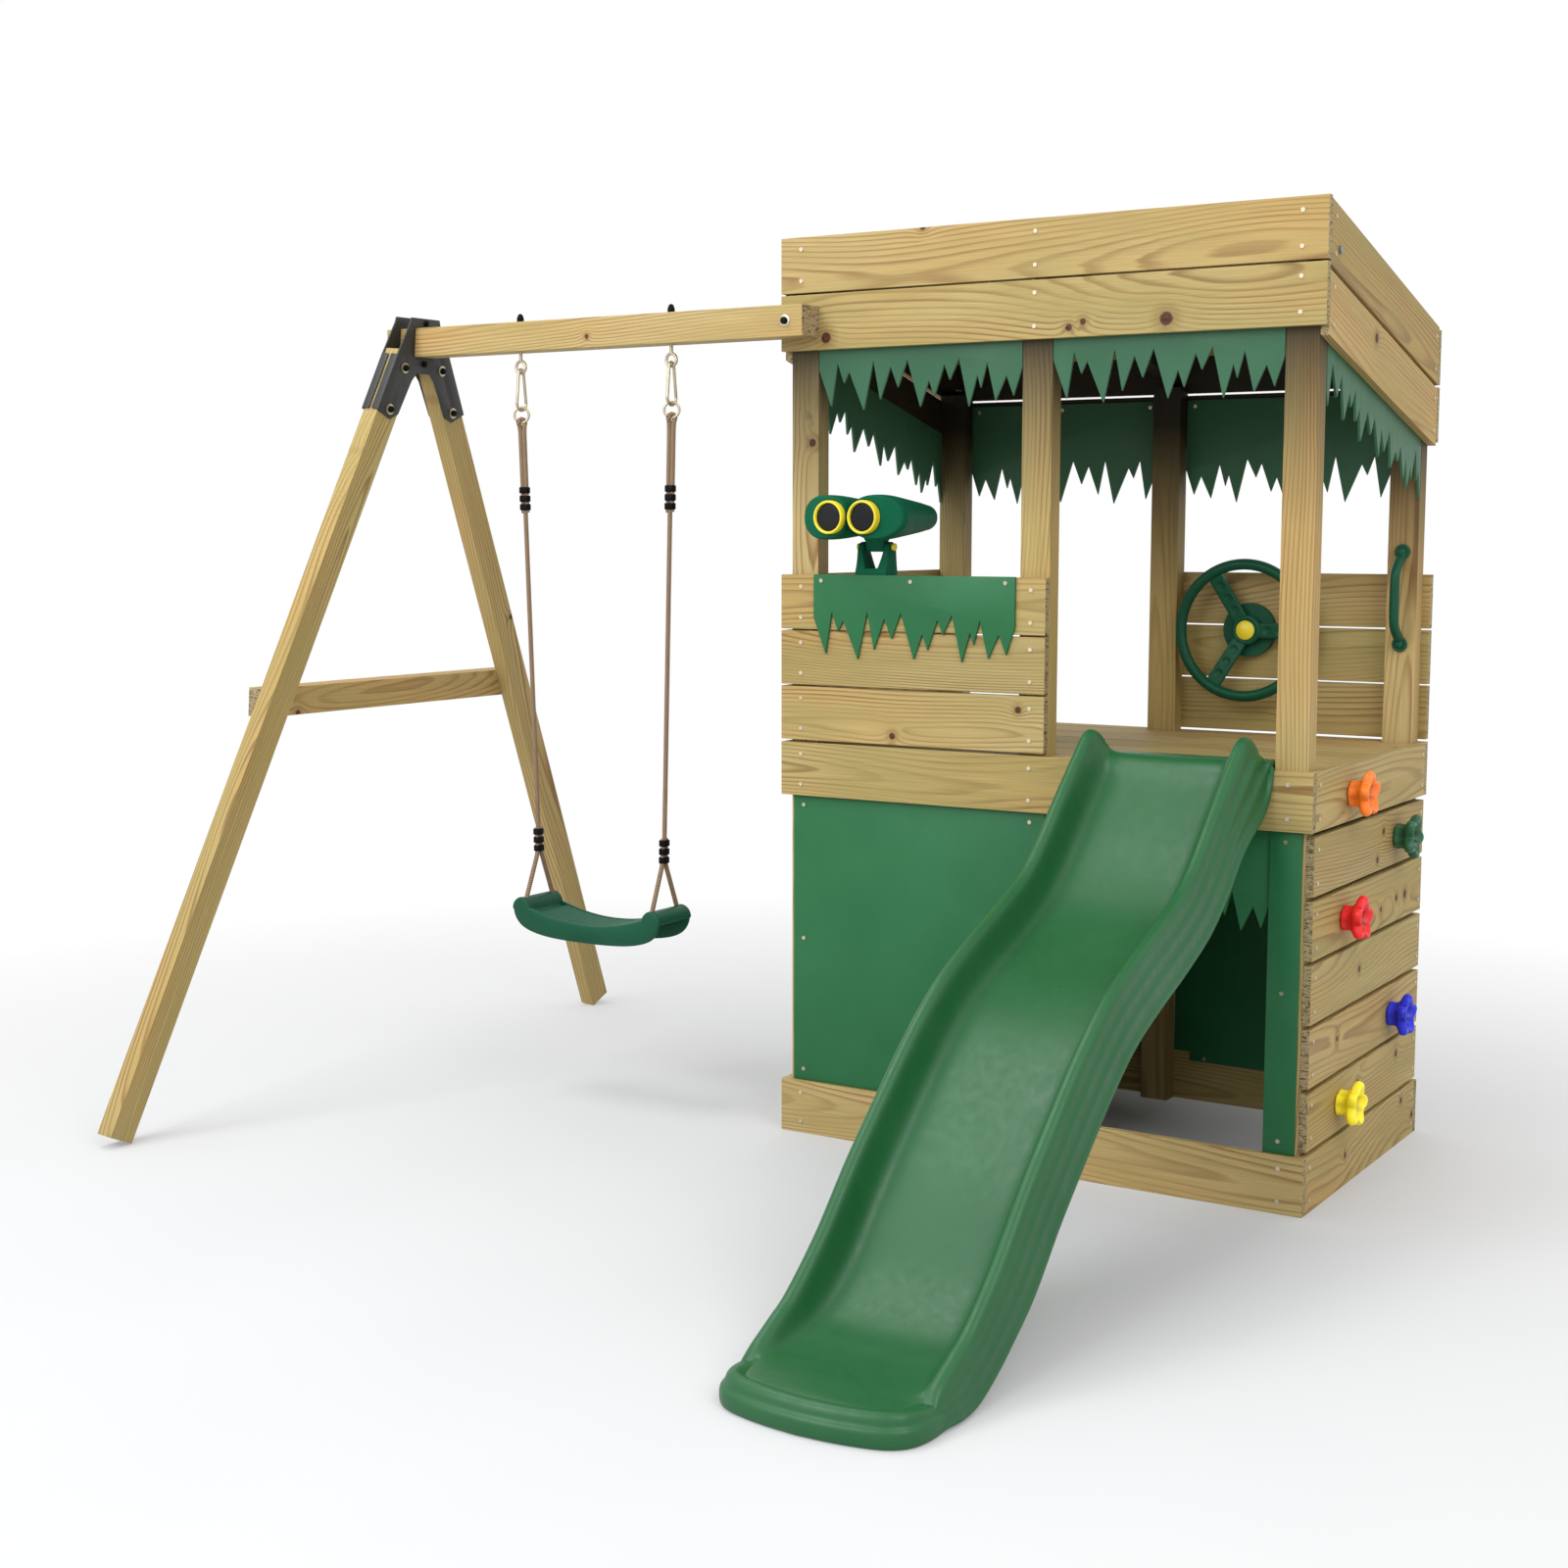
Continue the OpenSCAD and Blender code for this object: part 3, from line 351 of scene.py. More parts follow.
def plastic_material(name, colour, rough, mottle=0.12, grain=0.15, scale=900.0, shine=0.5,
                     indoors=False, recess_shade_centre=None):
    """Moulded plastic: slightly uneven colour, fine moulded texture and faint scuffs.
    Indoors adds painted shade under the roof, and a recess's centre, when given, gets painted shade
    round it."""
    s = Shader(name)
    p = s.coords()
    cloud = s.noise(p, 6.0, 3.0)
    low = tuple(c * (1 - mottle) for c in colour)
    high = tuple(min(1, c * (1 + mottle) + 0.004) for c in colour)
    base = s.mix(s.remap(cloud, 0.3, 0.7), low, high)
    marks = s.noise(s.scaled(p, (60, 60, 9)), 1.0, 4.0, 0.7)
    if indoors:
        # Painted shade under the roof
        base = s.paint_roof_shade(base, 0.62)
    if recess_shade_centre:
        # Painted shade in the hold's recess round its bolt
        _x, y, z = s.split(s.coords())
        across, up = s.sub(y, recess_shade_centre[0]), s.sub(z, recess_shade_centre[1])
        reach = s.length(s.join(0.0, across, up))
        deep = tuple(c * 0.15 for c in colour)
        base = s.mix(s.remap(reach, 0.013, 0.026, 0.85, 0.0), base, deep)
    skin = s.noise(p, scale, 2.0, 0.6)
    wave = s.noise(p, 14.0, 1.0)
    normal = s.bump(skin, grain, 0.0006)
    normal = s.bump(wave, 0.12, 0.004, normal)
    roughness = s.add(s.remap(marks, 0.3, 0.75, rough - 0.05, rough + 0.10),
                      s.remap(skin, 0.3, 0.7, -0.02, 0.03))
    return s.finish(Base_Color=base, Roughness=roughness, Specular_IOR_Level=shine,
                    Normal=normal)


def metal_material(name, colour, rough, metallic=1.0):
    """Plated or powder-coated steel with a fine grain and worn patches."""
    s = Shader(name)
    p = s.coords()
    cloud = s.noise(p, 45.0, 3.0)
    base = s.mix(s.remap(cloud, 0.3, 0.7), tuple(c * 0.78 for c in colour), colour)
    skin = s.noise(p, 1300.0, 2.0)
    return s.finish(Base_Color=base, Metallic=metallic,
                    Roughness=s.remap(cloud, 0.3, 0.7, rough, rough + 0.16),
                    Normal=s.bump(skin, 0.2, 0.0004))


def rope_material():
    """Brown fibre rope with shade painted between its strands."""
    s = Shader("rope_fibre_look")
    p = s.coords()
    fibre = s.noise(s.scaled(p, (1800, 1800, 500)), 1.0, 2.0)
    cloud = s.noise(p, 60.0, 2.0)
    base = s.mix(s.remap(fibre, 0.3, 0.7), (0.17, 0.10, 0.055), (0.50, 0.34, 0.20))
    base = s.mix(s.remap(cloud, 0.4, 0.7, 0.0, 0.35), base, (0.25, 0.15, 0.08))
    # Painted shade between the strands
    strand_shade = s.attribute("strand_shade")
    base = s.mix(s.remap(strand_shade, 0.15, 0.55, 0.0, 0.92), base, (0.040, 0.023, 0.012))
    return s.finish(Base_Color=base, Roughness=0.75, Normal=s.bump(fibre, 0.6, 0.0006))


TIMBER = timber_material("timber_look", (0.440, 0.347, 0.152), (0.200, 0.100, 0.028),
                         (0.335, 0.262, 0.095))
PANEL = plastic_material("panel_green_look", (0.014, 0.115, 0.040), 0.42, 0.05, 0.04, 700.0, 0.22)
# The roof leaves get painted shade under the roof
LEAF = plastic_material("leaf_green_look", (0.045, 0.150, 0.076), 0.42, 0.05, 0.04, 700.0, 0.22,
                        indoors=True)
SLIDE = plastic_material("slide_green_look", (0.004, 0.084, 0.020), 0.41, 0.04, 0.04, shine=0.44)
DARK_GREEN = plastic_material("dark_green_look", (0.003, 0.064, 0.030), 0.38, 0.08, 0.08,
                              shine=0.18)
TOY_GREEN = plastic_material("toy_green_look", (0.004, 0.085, 0.041), 0.50, 0.06, 0.06,
                             shine=0.03)
YELLOW = plastic_material("yellow_look", (0.72, 0.58, 0.020), 0.35)
BLACK = plastic_material("black_look", (0.003, 0.003, 0.003), 0.42, shine=0.05)
LENS = plastic_material("lens_look", (0.009, 0.009, 0.010), 0.35, 0.2, 0.02, shine=0.12)
HOLD_COLOURS = {
    "hold_orange": (0.90, 0.19, 0.010), "hold_green": (0.008, 0.090, 0.038),
    "hold_red": (0.74, 0.006, 0.010), "hold_blue": (0.006, 0.014, 0.58),
    "hold_yellow": (0.95, 0.78, 0.015),
}
HOLD_LOOKS = {}
for name, tone in HOLD_COLOURS.items():
    low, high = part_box(name)
    centre = ((low[1] + high[1]) / 2, (low[2] + high[2]) / 2)
    HOLD_LOOKS[name] = plastic_material(name + "_look", tone, 0.36, 0.08, 0.2, 500.0, recess_shade_centre=centre)
ZINC = metal_material("zinc_look", (0.56, 0.49, 0.34), 0.30)
SCREW = metal_material("screw_look", (0.60, 0.52, 0.38), 0.45, 0.6)
BOLT_HEAD = metal_material("bolt_head_look", (0.30, 0.31, 0.30), 0.38)
STEEL_PAINT = metal_material("grey_steel_look", (0.026, 0.027, 0.026), 0.42, 0.1)
ROPE = rope_material()


# ---- mesh helpers

def new_piece(name, geo, material, body, replaced=()):
    """One smooth piece made from a Geometry."""
    mesh = bpy.data.meshes.new(name)
    mesh.from_pydata([tuple(v) for v in geo.verts], [], geo.faces)
    mesh.update()
    return finish_piece(name, mesh, material, body, replaced)


def finish_piece(name, mesh, material, body, replaced=(), smooth=True):
    """An object for the mesh, on its body and in place of its CAD nodes."""
    obj = add_object(name, mesh)
    mesh.materials.append(material)
    if smooth:
        mesh.shade_smooth()
    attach(obj, body)
    if replaced:
        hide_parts(*replaced)
    return obj


def add_modifier(obj, kind, **values):
    """Adds a modifier with the given settings."""
    m = obj.modifiers.new(kind.lower(), kind)
    for key, value in values.items():
        setattr(m, key, value)
    return m


def round_off(obj):
    """Smooths a piece's shape with one level of subdivision."""
    add_modifier(obj, "SUBSURF", levels=1, render_levels=1)


def weld(obj, distance):
    """Joins near points and turns all faces outwards."""
    bm = bmesh.new()
    bm.from_mesh(obj.data)
    bmesh.ops.remove_doubles(bm, verts=bm.verts, dist=distance)
    bmesh.ops.dissolve_degenerate(bm, edges=bm.edges, dist=1e-6)
    bmesh.ops.recalc_face_normals(bm, faces=bm.faces)
    bm.to_mesh(obj.data)
    bm.free()


def crease(obj, distance, degrees):
    """Welds a piece and keeps the edges sharper than the angle crisp."""
    weld(obj, distance)
    obj.data.set_sharp_from_angle(angle=math.radians(degrees))


class Geometry:
    """Vertices and faces that several helpers add to."""

    def __init__(self):
        self.verts = []
        self.faces = []

    def grid(self, rows, close_rows=False, close_cols=False):
        """Adds a grid of points, one face between each four neighbours."""
        start = len(self.verts)
        n = len(rows[0])
        for row in rows:
            self.verts.extend(row)
        row_count = len(rows)
        for i in range(row_count if close_rows else row_count - 1):
            for j in range(n if close_cols else n - 1):
                a = start + i * n + j
                b = start + i * n + (j + 1) % n
                c = start + ((i + 1) % row_count) * n + (j + 1) % n
                d = start + ((i + 1) % row_count) * n + j
                self.faces.append((a, b, c, d))
        return start

    def cap(self, start, n, flip=False):
        """Closes one ring of n points with a single face."""
        ring = tuple(range(start, start + n))
        self.faces.append(ring[::-1] if flip else ring)

    def tube(self, rows):
        """Adds a closed band of rings with a cap at each end."""
        n = len(rows[0])
        start = self.grid(rows, close_cols=True)
        self.cap(start, n, True)
        self.cap(start + (len(rows) - 1) * n, n)


def unit(value):
    """Limits a value to 0 to 1."""
    return min(1.0, max(0.0, value))


def bulge(value, power):
    """A sine or cosine pushed outwards, which gives a circle flatter sides."""
    return math.copysign(abs(value) ** power, value)


def around(points, i):
    """The points before and after number i, or the end itself."""
    return points[max(i - 1, 0)], points[min(i + 1, len(points) - 1)]


def turns(n):
    """Angles of n equal steps round a circle."""
    return [TAU * k / n for k in range(n)]


def frame_of(axis):
    """Two directions square to an axis and to each other."""
    axis = Vector(axis).normalized()
    side = Vector((0, 0, 1)) if abs(axis.z) < 0.9 else Vector((0, 1, 0))
    x = side.cross(axis).normalized()
    return x, axis.cross(x), axis


def lathe(geo, origin, axis, profile, segments=32):
    """Turns (radius, height) points in millimetres round an axis that starts at origin."""
    x, y, z = frame_of(axis)
    rows = []
    for r, h in profile:
        start = Vector(origin) + z * (h / 1000)
        rows.append([start + (x * math.cos(a) + y * math.sin(a)) * (r / 1000)
                     for a in turns(segments)])
    geo.tube(rows)


def spline(points, steps):
    """Catmull-Rom curve through points of any dimension."""
    out = []
    last = len(points) - 1
    for i in range(last):
        p0, p1 = points[max(i - 1, 0)], points[i]
        p2, p3 = points[i + 1], points[min(i + 2, last)]
        for k in range(steps):
            t = k / steps
            out.append(tuple(
                0.5 * (2 * b + (c - a) * t + (2 * a - 5 * b + 4 * c - d) * t * t
                       + (3 * b - a - 3 * c + d) * t ** 3)
                for a, b, c, d in zip(p0, p1, p2, p3)))
    out.append(tuple(points[-1]))
    return out


# ---- timber

def loose_parts(bm):
    """Lists of vertices, one for each separate solid."""
    seen = set()
    parts = []
    for first in bm.verts:
        if first in seen:
            continue
        seen.add(first)
        part = [first]
        for v in part:
            new = [e.other_vert(v) for e in v.link_edges]
            new = [o for o in new if o not in seen]
            seen.update(new)
            part.extend(new)
        parts.append(part)
    parts.sort(key=lambda part: tuple(round(c, 4) for c in min(v.co[:] for v in part)))
    return parts


def middle_of(part):
    """Mean place of a solid's vertices."""
    return sum((v.co for v in part), Vector()) / len(part)


def clean_copy(node, degrees):
    """A CAD node's mesh with its flat faces merged."""
    bm = bmesh.new()
    bm.from_mesh(nodes[node].data)
    bmesh.ops.remove_doubles(bm, verts=bm.verts, dist=1e-5)
    bmesh.ops.dissolve_limit(bm, angle_limit=math.radians(degrees), verts=bm.verts,
                             edges=bm.edges)
    return bm


def bevel_corners(bm, angle, offset, **settings):
    """Rounds the edges whose faces turn by more than the angle, in radians."""
    sharp = [e for e in bm.edges if len(e.link_faces) == 2 and e.calc_face_angle() > angle]
    bmesh.ops.bevel(bm, geom=sharp, offset=offset, segments=2, affect="EDGES", **settings)


def mesh_from(bm, name):
    """Turns the edited mesh into a new mesh datablock."""
    mesh = bpy.data.meshes.new(name)
    bm.to_mesh(mesh)
    bm.free()
    return mesh


def board_axes(part):
    """Grain, width and thickness directions of a board: its longest corner and widest face."""
    edges = [e for v in part for e in v.link_edges if e.calc_face_angle(0) > 0.6]
    long_edge = max(edges, key=lambda e: round(e.calc_length(), 5))
    along = (long_edge.verts[1].co - long_edge.verts[0].co).normalized()
    faces = [f for v in part for f in v.link_faces]
    flat = max(faces, key=lambda f: round(f.calc_area() * (abs(f.normal.dot(along)) < 0.5), 6))
    across = flat.normal.cross(along).normalized()
    return along, across, flat.normal.copy()


TIMBER_EDGE = 0.0014


def make_timber(node, seed, material):
    """Copies a CAD node's boards, rounds their edges and gives each its own grain."""
    bm = clean_copy(node, 1)
    boards = [board_axes(part) for part in loose_parts(bm)]
    centres = [middle_of(part) for part in loose_parts(bm)]
    bevel_corners(bm, 0.6, TIMBER_EDGE, profile=0.6)
    grain = bm.verts.layers.float_vector.new("grain")
    shade = bm.verts.layers.float.new("shade")
    rng = random.Random(seed)
    owner = {}
    for part in loose_parts(bm):
        middle = middle_of(part)
        k = min(range(len(centres)), key=lambda i: (centres[i] - middle).length)
        along, across, normal = boards[k]
        shift = Vector((rng.uniform(0, 40), rng.uniform(-0.085, 0.085),
                        rng.uniform(0.030, 0.075) * rng.choice((-1, 1))))
        tone = rng.uniform(0.05, 1.0)
        for v in part:
            owner[v] = k
            d = v.co - middle
            v[grain] = Vector((d.dot(along), d.dot(across), d.dot(normal))) + shift
            v[shade] = tone
    ends = [abs(f.normal.dot(boards[owner[f.verts[0]]][0])) > 0.75 for f in bm.faces]
    mesh = mesh_from(bm, node + "_boards")
    attribute = mesh.attributes.new("endgrain", "FLOAT", "FACE")
    attribute.data.foreach_set("value", [1.0 if e else 0.0 for e in ends])
    finish_piece(node + "_boards", mesh, material, body_of(node), (node,), False)


def body_of(node):
    """The CAD body that a node rides on."""
    return nodes[node]["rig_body"]


TIMBER_NODES = [s["node"] for s in frame["record"]["subparts"] if s["material_slot"] == "timber"]
for number, name in enumerate(sorted(TIMBER_NODES)):
    make_timber(name, 100 + number, TIMBER)


# ---- plain CAD nodes

def soften(node, material, edge):
    """Copies a CAD node, merges its flat faces and rounds its sharp edges."""
    bm = clean_copy(node, 0.5)
    bevel_corners(bm, 0.7, edge, profile=0.5, clamp_overlap=True)
    mesh = mesh_from(bm, node + "_shape")
    finish_piece(node + "_shape", mesh, material, body_of(node), (node,))
    mesh.set_sharp_from_angle(angle=math.radians(35))


def paint(node, material):
    """Gives a CAD node its finished material."""
    data = nodes[node].data
    data.materials.clear()
    data.materials.append(material)


for name in ("front_panel", "front_strip", "rear_panels", "left_panel", "window_leaf_panel",
             "door_leaf_panel"):
    soften(name, PANEL, 0.0007)
for name in ("front_leaf_panels", "rear_leaf_panels", "side_leaf_panels"):
    soften(name, LEAF, 0.0007)
soften("apex_brackets", STEEL_PAINT, 0.0012)
soften("rope_clamps", BLACK, 0.002)
for name in ("hanger_bolts", "swing_links", "hold_bolts", "panel_screws"):
    paint(name, ZINC)
paint("plank_screws", SCREW)
for name in ("binocular_bolt", "wheel_cap"):
    paint(name, YELLOW)
paint("wheel_base", DARK_GREEN)


# ---- slide

SLIDE_X = 0.327

# Rows down the slide, in millimetres: crest y, z; chute floor y, z; outer wall's foot y, z
SLIDE_ROWS = [
    (-44, 915, -36, 914, -43, 905), (-50, 938, -52, 913, -44, 880), (-72, 955, -66, 907, -50, 850),
    (-103, 956, -80, 893, -62, 826), (-150, 917, -102, 862, -90, 800),
    (-250, 824, -198, 770, -178, 750), (-330, 748, -281, 692, -262, 671),
    (-400, 697, -361, 634, -345, 610), (-502, 652, -472, 583, -459, 557),
    (-621, 604, -592, 535, -580, 509), (-734, 550, -698, 484, -684, 460),
    (-843, 473, -798, 413, -780, 390), (-947, 383, -895, 329, -877, 306),
    (-1046, 293, -993, 240, -970, 222), (-1142, 195, -1088, 143, -1062, 128),
    (-1235, 119, -1180, 79, -1150, 65), (-1285, 92, -1248, 58, -1215, 28),
    (-1318, 75, -1296, 50, -1262, 10), (-1342, 62, -1334, 47.6, -1305, 6),
    (-1357, 51, -1372, 47.0, -1350, 6), (-1366, 42, -1410, 46.9, -1395, 6),
    (-1372, 36, -1438, 46.8, -1398, 6), (-1374, 33, -1450, 44.0, -1400, 6),
]

# Half section: distance from the centre line in mm, share of the way from floor to crest
# (0 to 1) or from crest to the wall's foot (1 to 2), and lift in mm
SLIDE_SECTION = [
    (0, 0.0, -2), (45, 0.0, -1.5), (85, 0.0, 0), (108, 0.02, 0), (124, 0.09, 0), (136, 0.26, 0),
    (144, 0.55, 0), (150, 0.86, 0), (155, 0.99, 1), (161, 1.0, 4), (169, 1.0, 4), (175, 1.04, 1),
    (178, 1.12, 0), (179, 1.25, 0), (187, 1.29, 0), (189.5, 1.33, 0), (188, 1.38, 0),
    (189, 1.54, 0), (197, 1.58, 0), (199.5, 1.62, 0), (198, 1.67, 0), (199, 1.84, 0),
    (206, 1.88, 0), (209, 1.92, 0), (208, 2.0, 0),
]


# Past this distance from the centre line, in mm, the outer wall leans out
CREST_EDGE = 176


def slide_point(row, x, share, lift, flare):
    """One point of a cross-section, on its row's slanted plane."""
    cy, cz, fy, fz, by, bz = row
    if share <= 1:
        y, z = fy + (cy - fy) * share, fz + (cz - fz) * share
    else:
        y, z = cy + (by - cy) * (share - 1), cz + (bz - cz) * (share - 1)
    if x > CREST_EDGE:
        x = CREST_EDGE + (x - CREST_EDGE) * flare
    return Vector((x, y, z + lift)) / 1000


def make_slide():
    """The wavy chute with its two ribbed side walls."""
    geo = Geometry()
    rows = spline(SLIDE_ROWS, 6)
    grid = []
    for i, row in enumerate(rows):
        t = i / (len(rows) - 1)
        fade = unit((t - 0.82) / 0.10)
        flare = (1.0 - 0.50 * unit(t * 1.5)) * (1 - 0.8 * fade)
        half = [slide_point(row, x, share, lift * (1 - fade), flare)
                for x, share, lift in SLIDE_SECTION]
        left = [Vector((SLIDE_X - p.x, p.y, p.z)) for p in reversed(half[1:])]
        right = [Vector((SLIDE_X + p.x, p.y, p.z)) for p in half]
        grid.append(left + right)
    geo.grid(grid)
    obj = new_piece("slide_chute", geo, SLIDE, "tower", ("slide",))
    add_modifier(obj, "SOLIDIFY", thickness=0.0035, offset=-1.0)
    round_off(obj)


# Half outline of the run-out lip, from under the chute to the front centre, in millimetres
LIP_OUTLINE = [
    (166, -1190), (170, -1250), (175, -1310), (179, -1360), (177, -1400), (166, -1432),
    (143, -1453), (108, -1465), (57, -1474), (0, -1478),
]

# Across the lip's rim: distance inside the outline and height, in millimetres
LIP_PROFILE = [
    (60, 42.5), (46, 43.5), (38, 45), (31, 48.2), (25, 51.4), (19.5, 53.4), (14.5, 54), (9, 53),
    (4.5, 49.5), (1.5, 43), (0, 37), (-1.5, 33.5), (-4.5, 31.5), (-7.5, 28), (-9, 21), (-9, 9),
    (-7, 1.5), (-3, 0.8),
]


def lip_rail(d, z, points):
    """The lip's half outline moved in by d, at height z."""
    out = []
    for i, (x, y) in enumerate(points):
        (x0, y0), (x1, y1) = around(points, i)
        n = Vector((-(y1 - y0), x1 - x0)).normalized()
        if i == len(points) - 1:
            n = Vector((0, 1))
        if n.x > 0:
            n = -n
        if n.y < 0 and i > 2:
            n.y = -n.y
        fade = unit((-1365 - y) / 70)
        height = z if z < 46.0 else 46.0 + (z - 46.0) * fade
        height *= 0.55 + 0.45 * unit((-1260 - y) / 80)
        out.append(Vector((max(x + n.x * d, 0), y + n.y * d, height)))
    return out


def make_lip():
    """The run-out tray's raised rim round the foot of the chute."""
    geo = Geometry()
    points = spline(LIP_OUTLINE, 5)
    half = [lip_rail(d, z, points) for d, z in LIP_PROFILE]
    for side in (-1, 1):
        rails = [[Vector((SLIDE_X + side * p.x / 1000, p.y / 1000, p.z / 1000)) for p in rail]
                 for rail in half]
        if side < 0:
            rails.reverse()
        geo.grid(rails)
    geo.grid([[Vector((SLIDE_X + p.x * (k / 8) / 1000, p.y / 1000, p.z / 1000))
               for k in range(-8, 9)] for p in half[0]])
    obj = new_piece("slide_lip", geo, SLIDE, "tower")
    weld(obj, 0.0004)
    round_off(obj)


def corner_arcs(x0, x1, y0, y1, r, steps):
    """Round a rectangle's four rounded corners: each point's arc centre and direction."""
    arcs = []
    for x, y, first in ((x1 - r, y1 - r, 0), (x0 + r, y1 - r, 90), (x0 + r, y0 + r, 180),
                        (x1 - r, y0 + r, 270)):
        for k in range(steps + 1):
            a = math.radians(first + 90 / steps * k)
            arcs.append((x, y, math.cos(a), math.sin(a)))
    return arcs


def rounded_box(geo, lo, hi, r):
    """A box with rounded upright edges and chamfers round its top and bottom."""
    arcs = corner_arcs(lo[0], hi[0], lo[1], hi[1], r, 4)
    levels = ((lo[2], 0.4), (lo[2] + r * 0.6, 1), (hi[2] - r * 0.6, 1), (hi[2], 0.4))
    geo.tube([[Vector((x + ca * r * k, y + sa * r * k, z)) for x, y, ca, sa in arcs]
              for z, k in levels])


def make_slide_hook():
    """Flange over the deck's edge with its turned-down front."""
    geo = Geometry()
    rounded_box(geo, (SLIDE_X - 0.201, -0.046, 0.8975), (SLIDE_X + 0.201, 0.021, 0.914), 0.005)
    rounded_box(geo, (SLIDE_X - 0.196, -0.0465, 0.858), (SLIDE_X + 0.196, -0.0412, 0.905), 0.002)
    obj = new_piece("slide_hook", geo, SLIDE, "tower")
    weld(obj, 1e-6)


make_slide()
make_lip()
make_slide_hook()


# ---- climbing holds

# Across a hold from the wall outwards and into the recess: radius, height, lobe depth
HOLD_PROFILE = [
    (21, 0.5, 0.02), (26, 1.5, 0.05), (27, 5, 0.08), (25, 12, 0.10), (25, 19, 0.10),
    (29, 25, 0.13), (37, 29, 0.17), (41, 33, 0.20), (42.5, 38, 0.22), (42, 43, 0.22),
    (40, 48, 0.20), (37, 50.5, 0.19), (33, 50, 0.18), (28.5, 46, 0.15), (24, 40, 0.12),
    (20, 34, 0.08), (17, 29, 0.03), (14.5, 26, 0.0), (13.2, 23, 0.0), (12.6, 22.3, 0.0),
]


def make_hold(node, seed):
    """A five-lobed hold with a deep recess for its bolt, turned at random."""
    lo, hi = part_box(node)
    y0, z0, x0 = (lo[1] + hi[1]) / 2, (lo[2] + hi[2]) / 2, lo[0]
    rng = random.Random(seed)
    turn = rng.uniform(0, TAU)
    uneven = [(rng.uniform(-0.07, 0.07), rng.uniform(0, TAU)) for _ in range(2)]
    geo = Geometry()
    rows = []
    for r, h, lobe in HOLD_PROFILE:
        row = []
        for a in turns(60):
            wave = 0.5 + 0.5 * math.cos(5 * (a - turn))
            swell = 1 + lobe * (2 * wave ** 0.8 - 1.25)
            for n, (amount, phase) in enumerate(uneven):
                swell += amount * math.cos((n + 1) * a + phase) * min(1, lobe * 5)
            dip = 3.5 * lobe / 0.22 * (1 - wave) if h > 30 and r > 26 else 0
            rr = r * swell / 1000
            row.append(Vector((x0 + (h - dip) / 1000, y0 + rr * math.cos(a),
                               z0 + rr * math.sin(a))))
        rows.append(row)
    start = geo.grid(rows, close_cols=True)
    geo.cap(start, len(rows[0]), True)
    obj = new_piece(node + "_shape", geo, HOLD_LOOKS[node], "tower",
                    (node,))
    weld(obj, 1e-6)
    round_off(obj)


for number, name in enumerate(HOLD_LOOKS):
    make_hold(name, 40 + number)


# ---- steering wheel

WHEEL = Vector((0.2025, 0.0, 1.139))
RIM_Y = 0.660
RIM_REACH = 0.1525
HUB_Y = 0.672


def make_wheel():
    """Rim with finger grooves, three spokes and a stepped hub."""
    geo = Geometry()
    rows = []
    for a in turns(96):
        out = Vector((math.cos(a), 0, math.sin(a)))
        row = []
        for b in turns(20):
            # Finger grooves under the rim, one small wave every few degrees
            r = 0.0126 * (1 - 0.03 * (1 + math.cos(24 * a)) * max(0, math.sin(b)))
            row.append(WHEEL + out * (RIM_REACH + r * math.cos(b))
                       + Vector((0, RIM_Y + r * math.sin(b), 0)))
        rows.append(row)
    geo.grid(rows, close_rows=True, close_cols=True)
    lathe(geo, (WHEEL.x, HUB_Y + 0.022, WHEEL.z), (0, -1, 0), [
        (34.5, 0), (35, 1), (35, 16), (33.5, 19.5), (31, 21.5), (28.5, 22), (27, 20.5),
        (24.5, 20), (22.5, 21.8)], 64)
    for angle in (0, 120, 240):
        add_spoke(geo, math.radians(angle))
    obj = new_piece("steering_wheel_shape", geo, DARK_GREEN, "steering",
                    ("steering_wheel",))
    crease(obj, 1e-6, 50)


def add_spoke(geo, angle):
    """A flat spoke with three round dimples, from the hub to the rim."""
    out = Vector((math.cos(angle), 0, math.sin(angle)))
    side = Vector((-math.sin(angle), 0, math.cos(angle)))
    n, m = 56, 17
    front = []
    back = []
    for i in range(n + 1):
        t = i / n
        reach = 0.030 + (RIM_REACH - 0.030) * t
        y = HUB_Y + 0.006 + (RIM_Y - HUB_Y - 0.006) * t
        row = []
        row_back = []
        for j in range(m + 1):
            v = (j / m - 0.5) * 0.034
            edge = max(0.0, (abs(v) - 0.014) / 0.003)
            dimple = 0.0
            for centre in (0.045, 0.077, 0.109):
                d = math.hypot(reach - centre - 0.008, v)
                dimple = max(dimple, unit((0.0092 - d) / 0.0018))
            depth = 0.0034 * dimple + 0.0016 * edge ** 2
            p = WHEEL + out * reach + side * v
            row.append(Vector((p.x, y - 0.0042 + depth, p.z)))
            row_back.append(Vector((p.x, y + 0.0050, p.z)))
        front.append(row)
        back.append(row_back[::-1])
    loop = [a + b for a, b in zip(front, back)]
    geo.grid(loop, close_cols=True)


make_wheel()


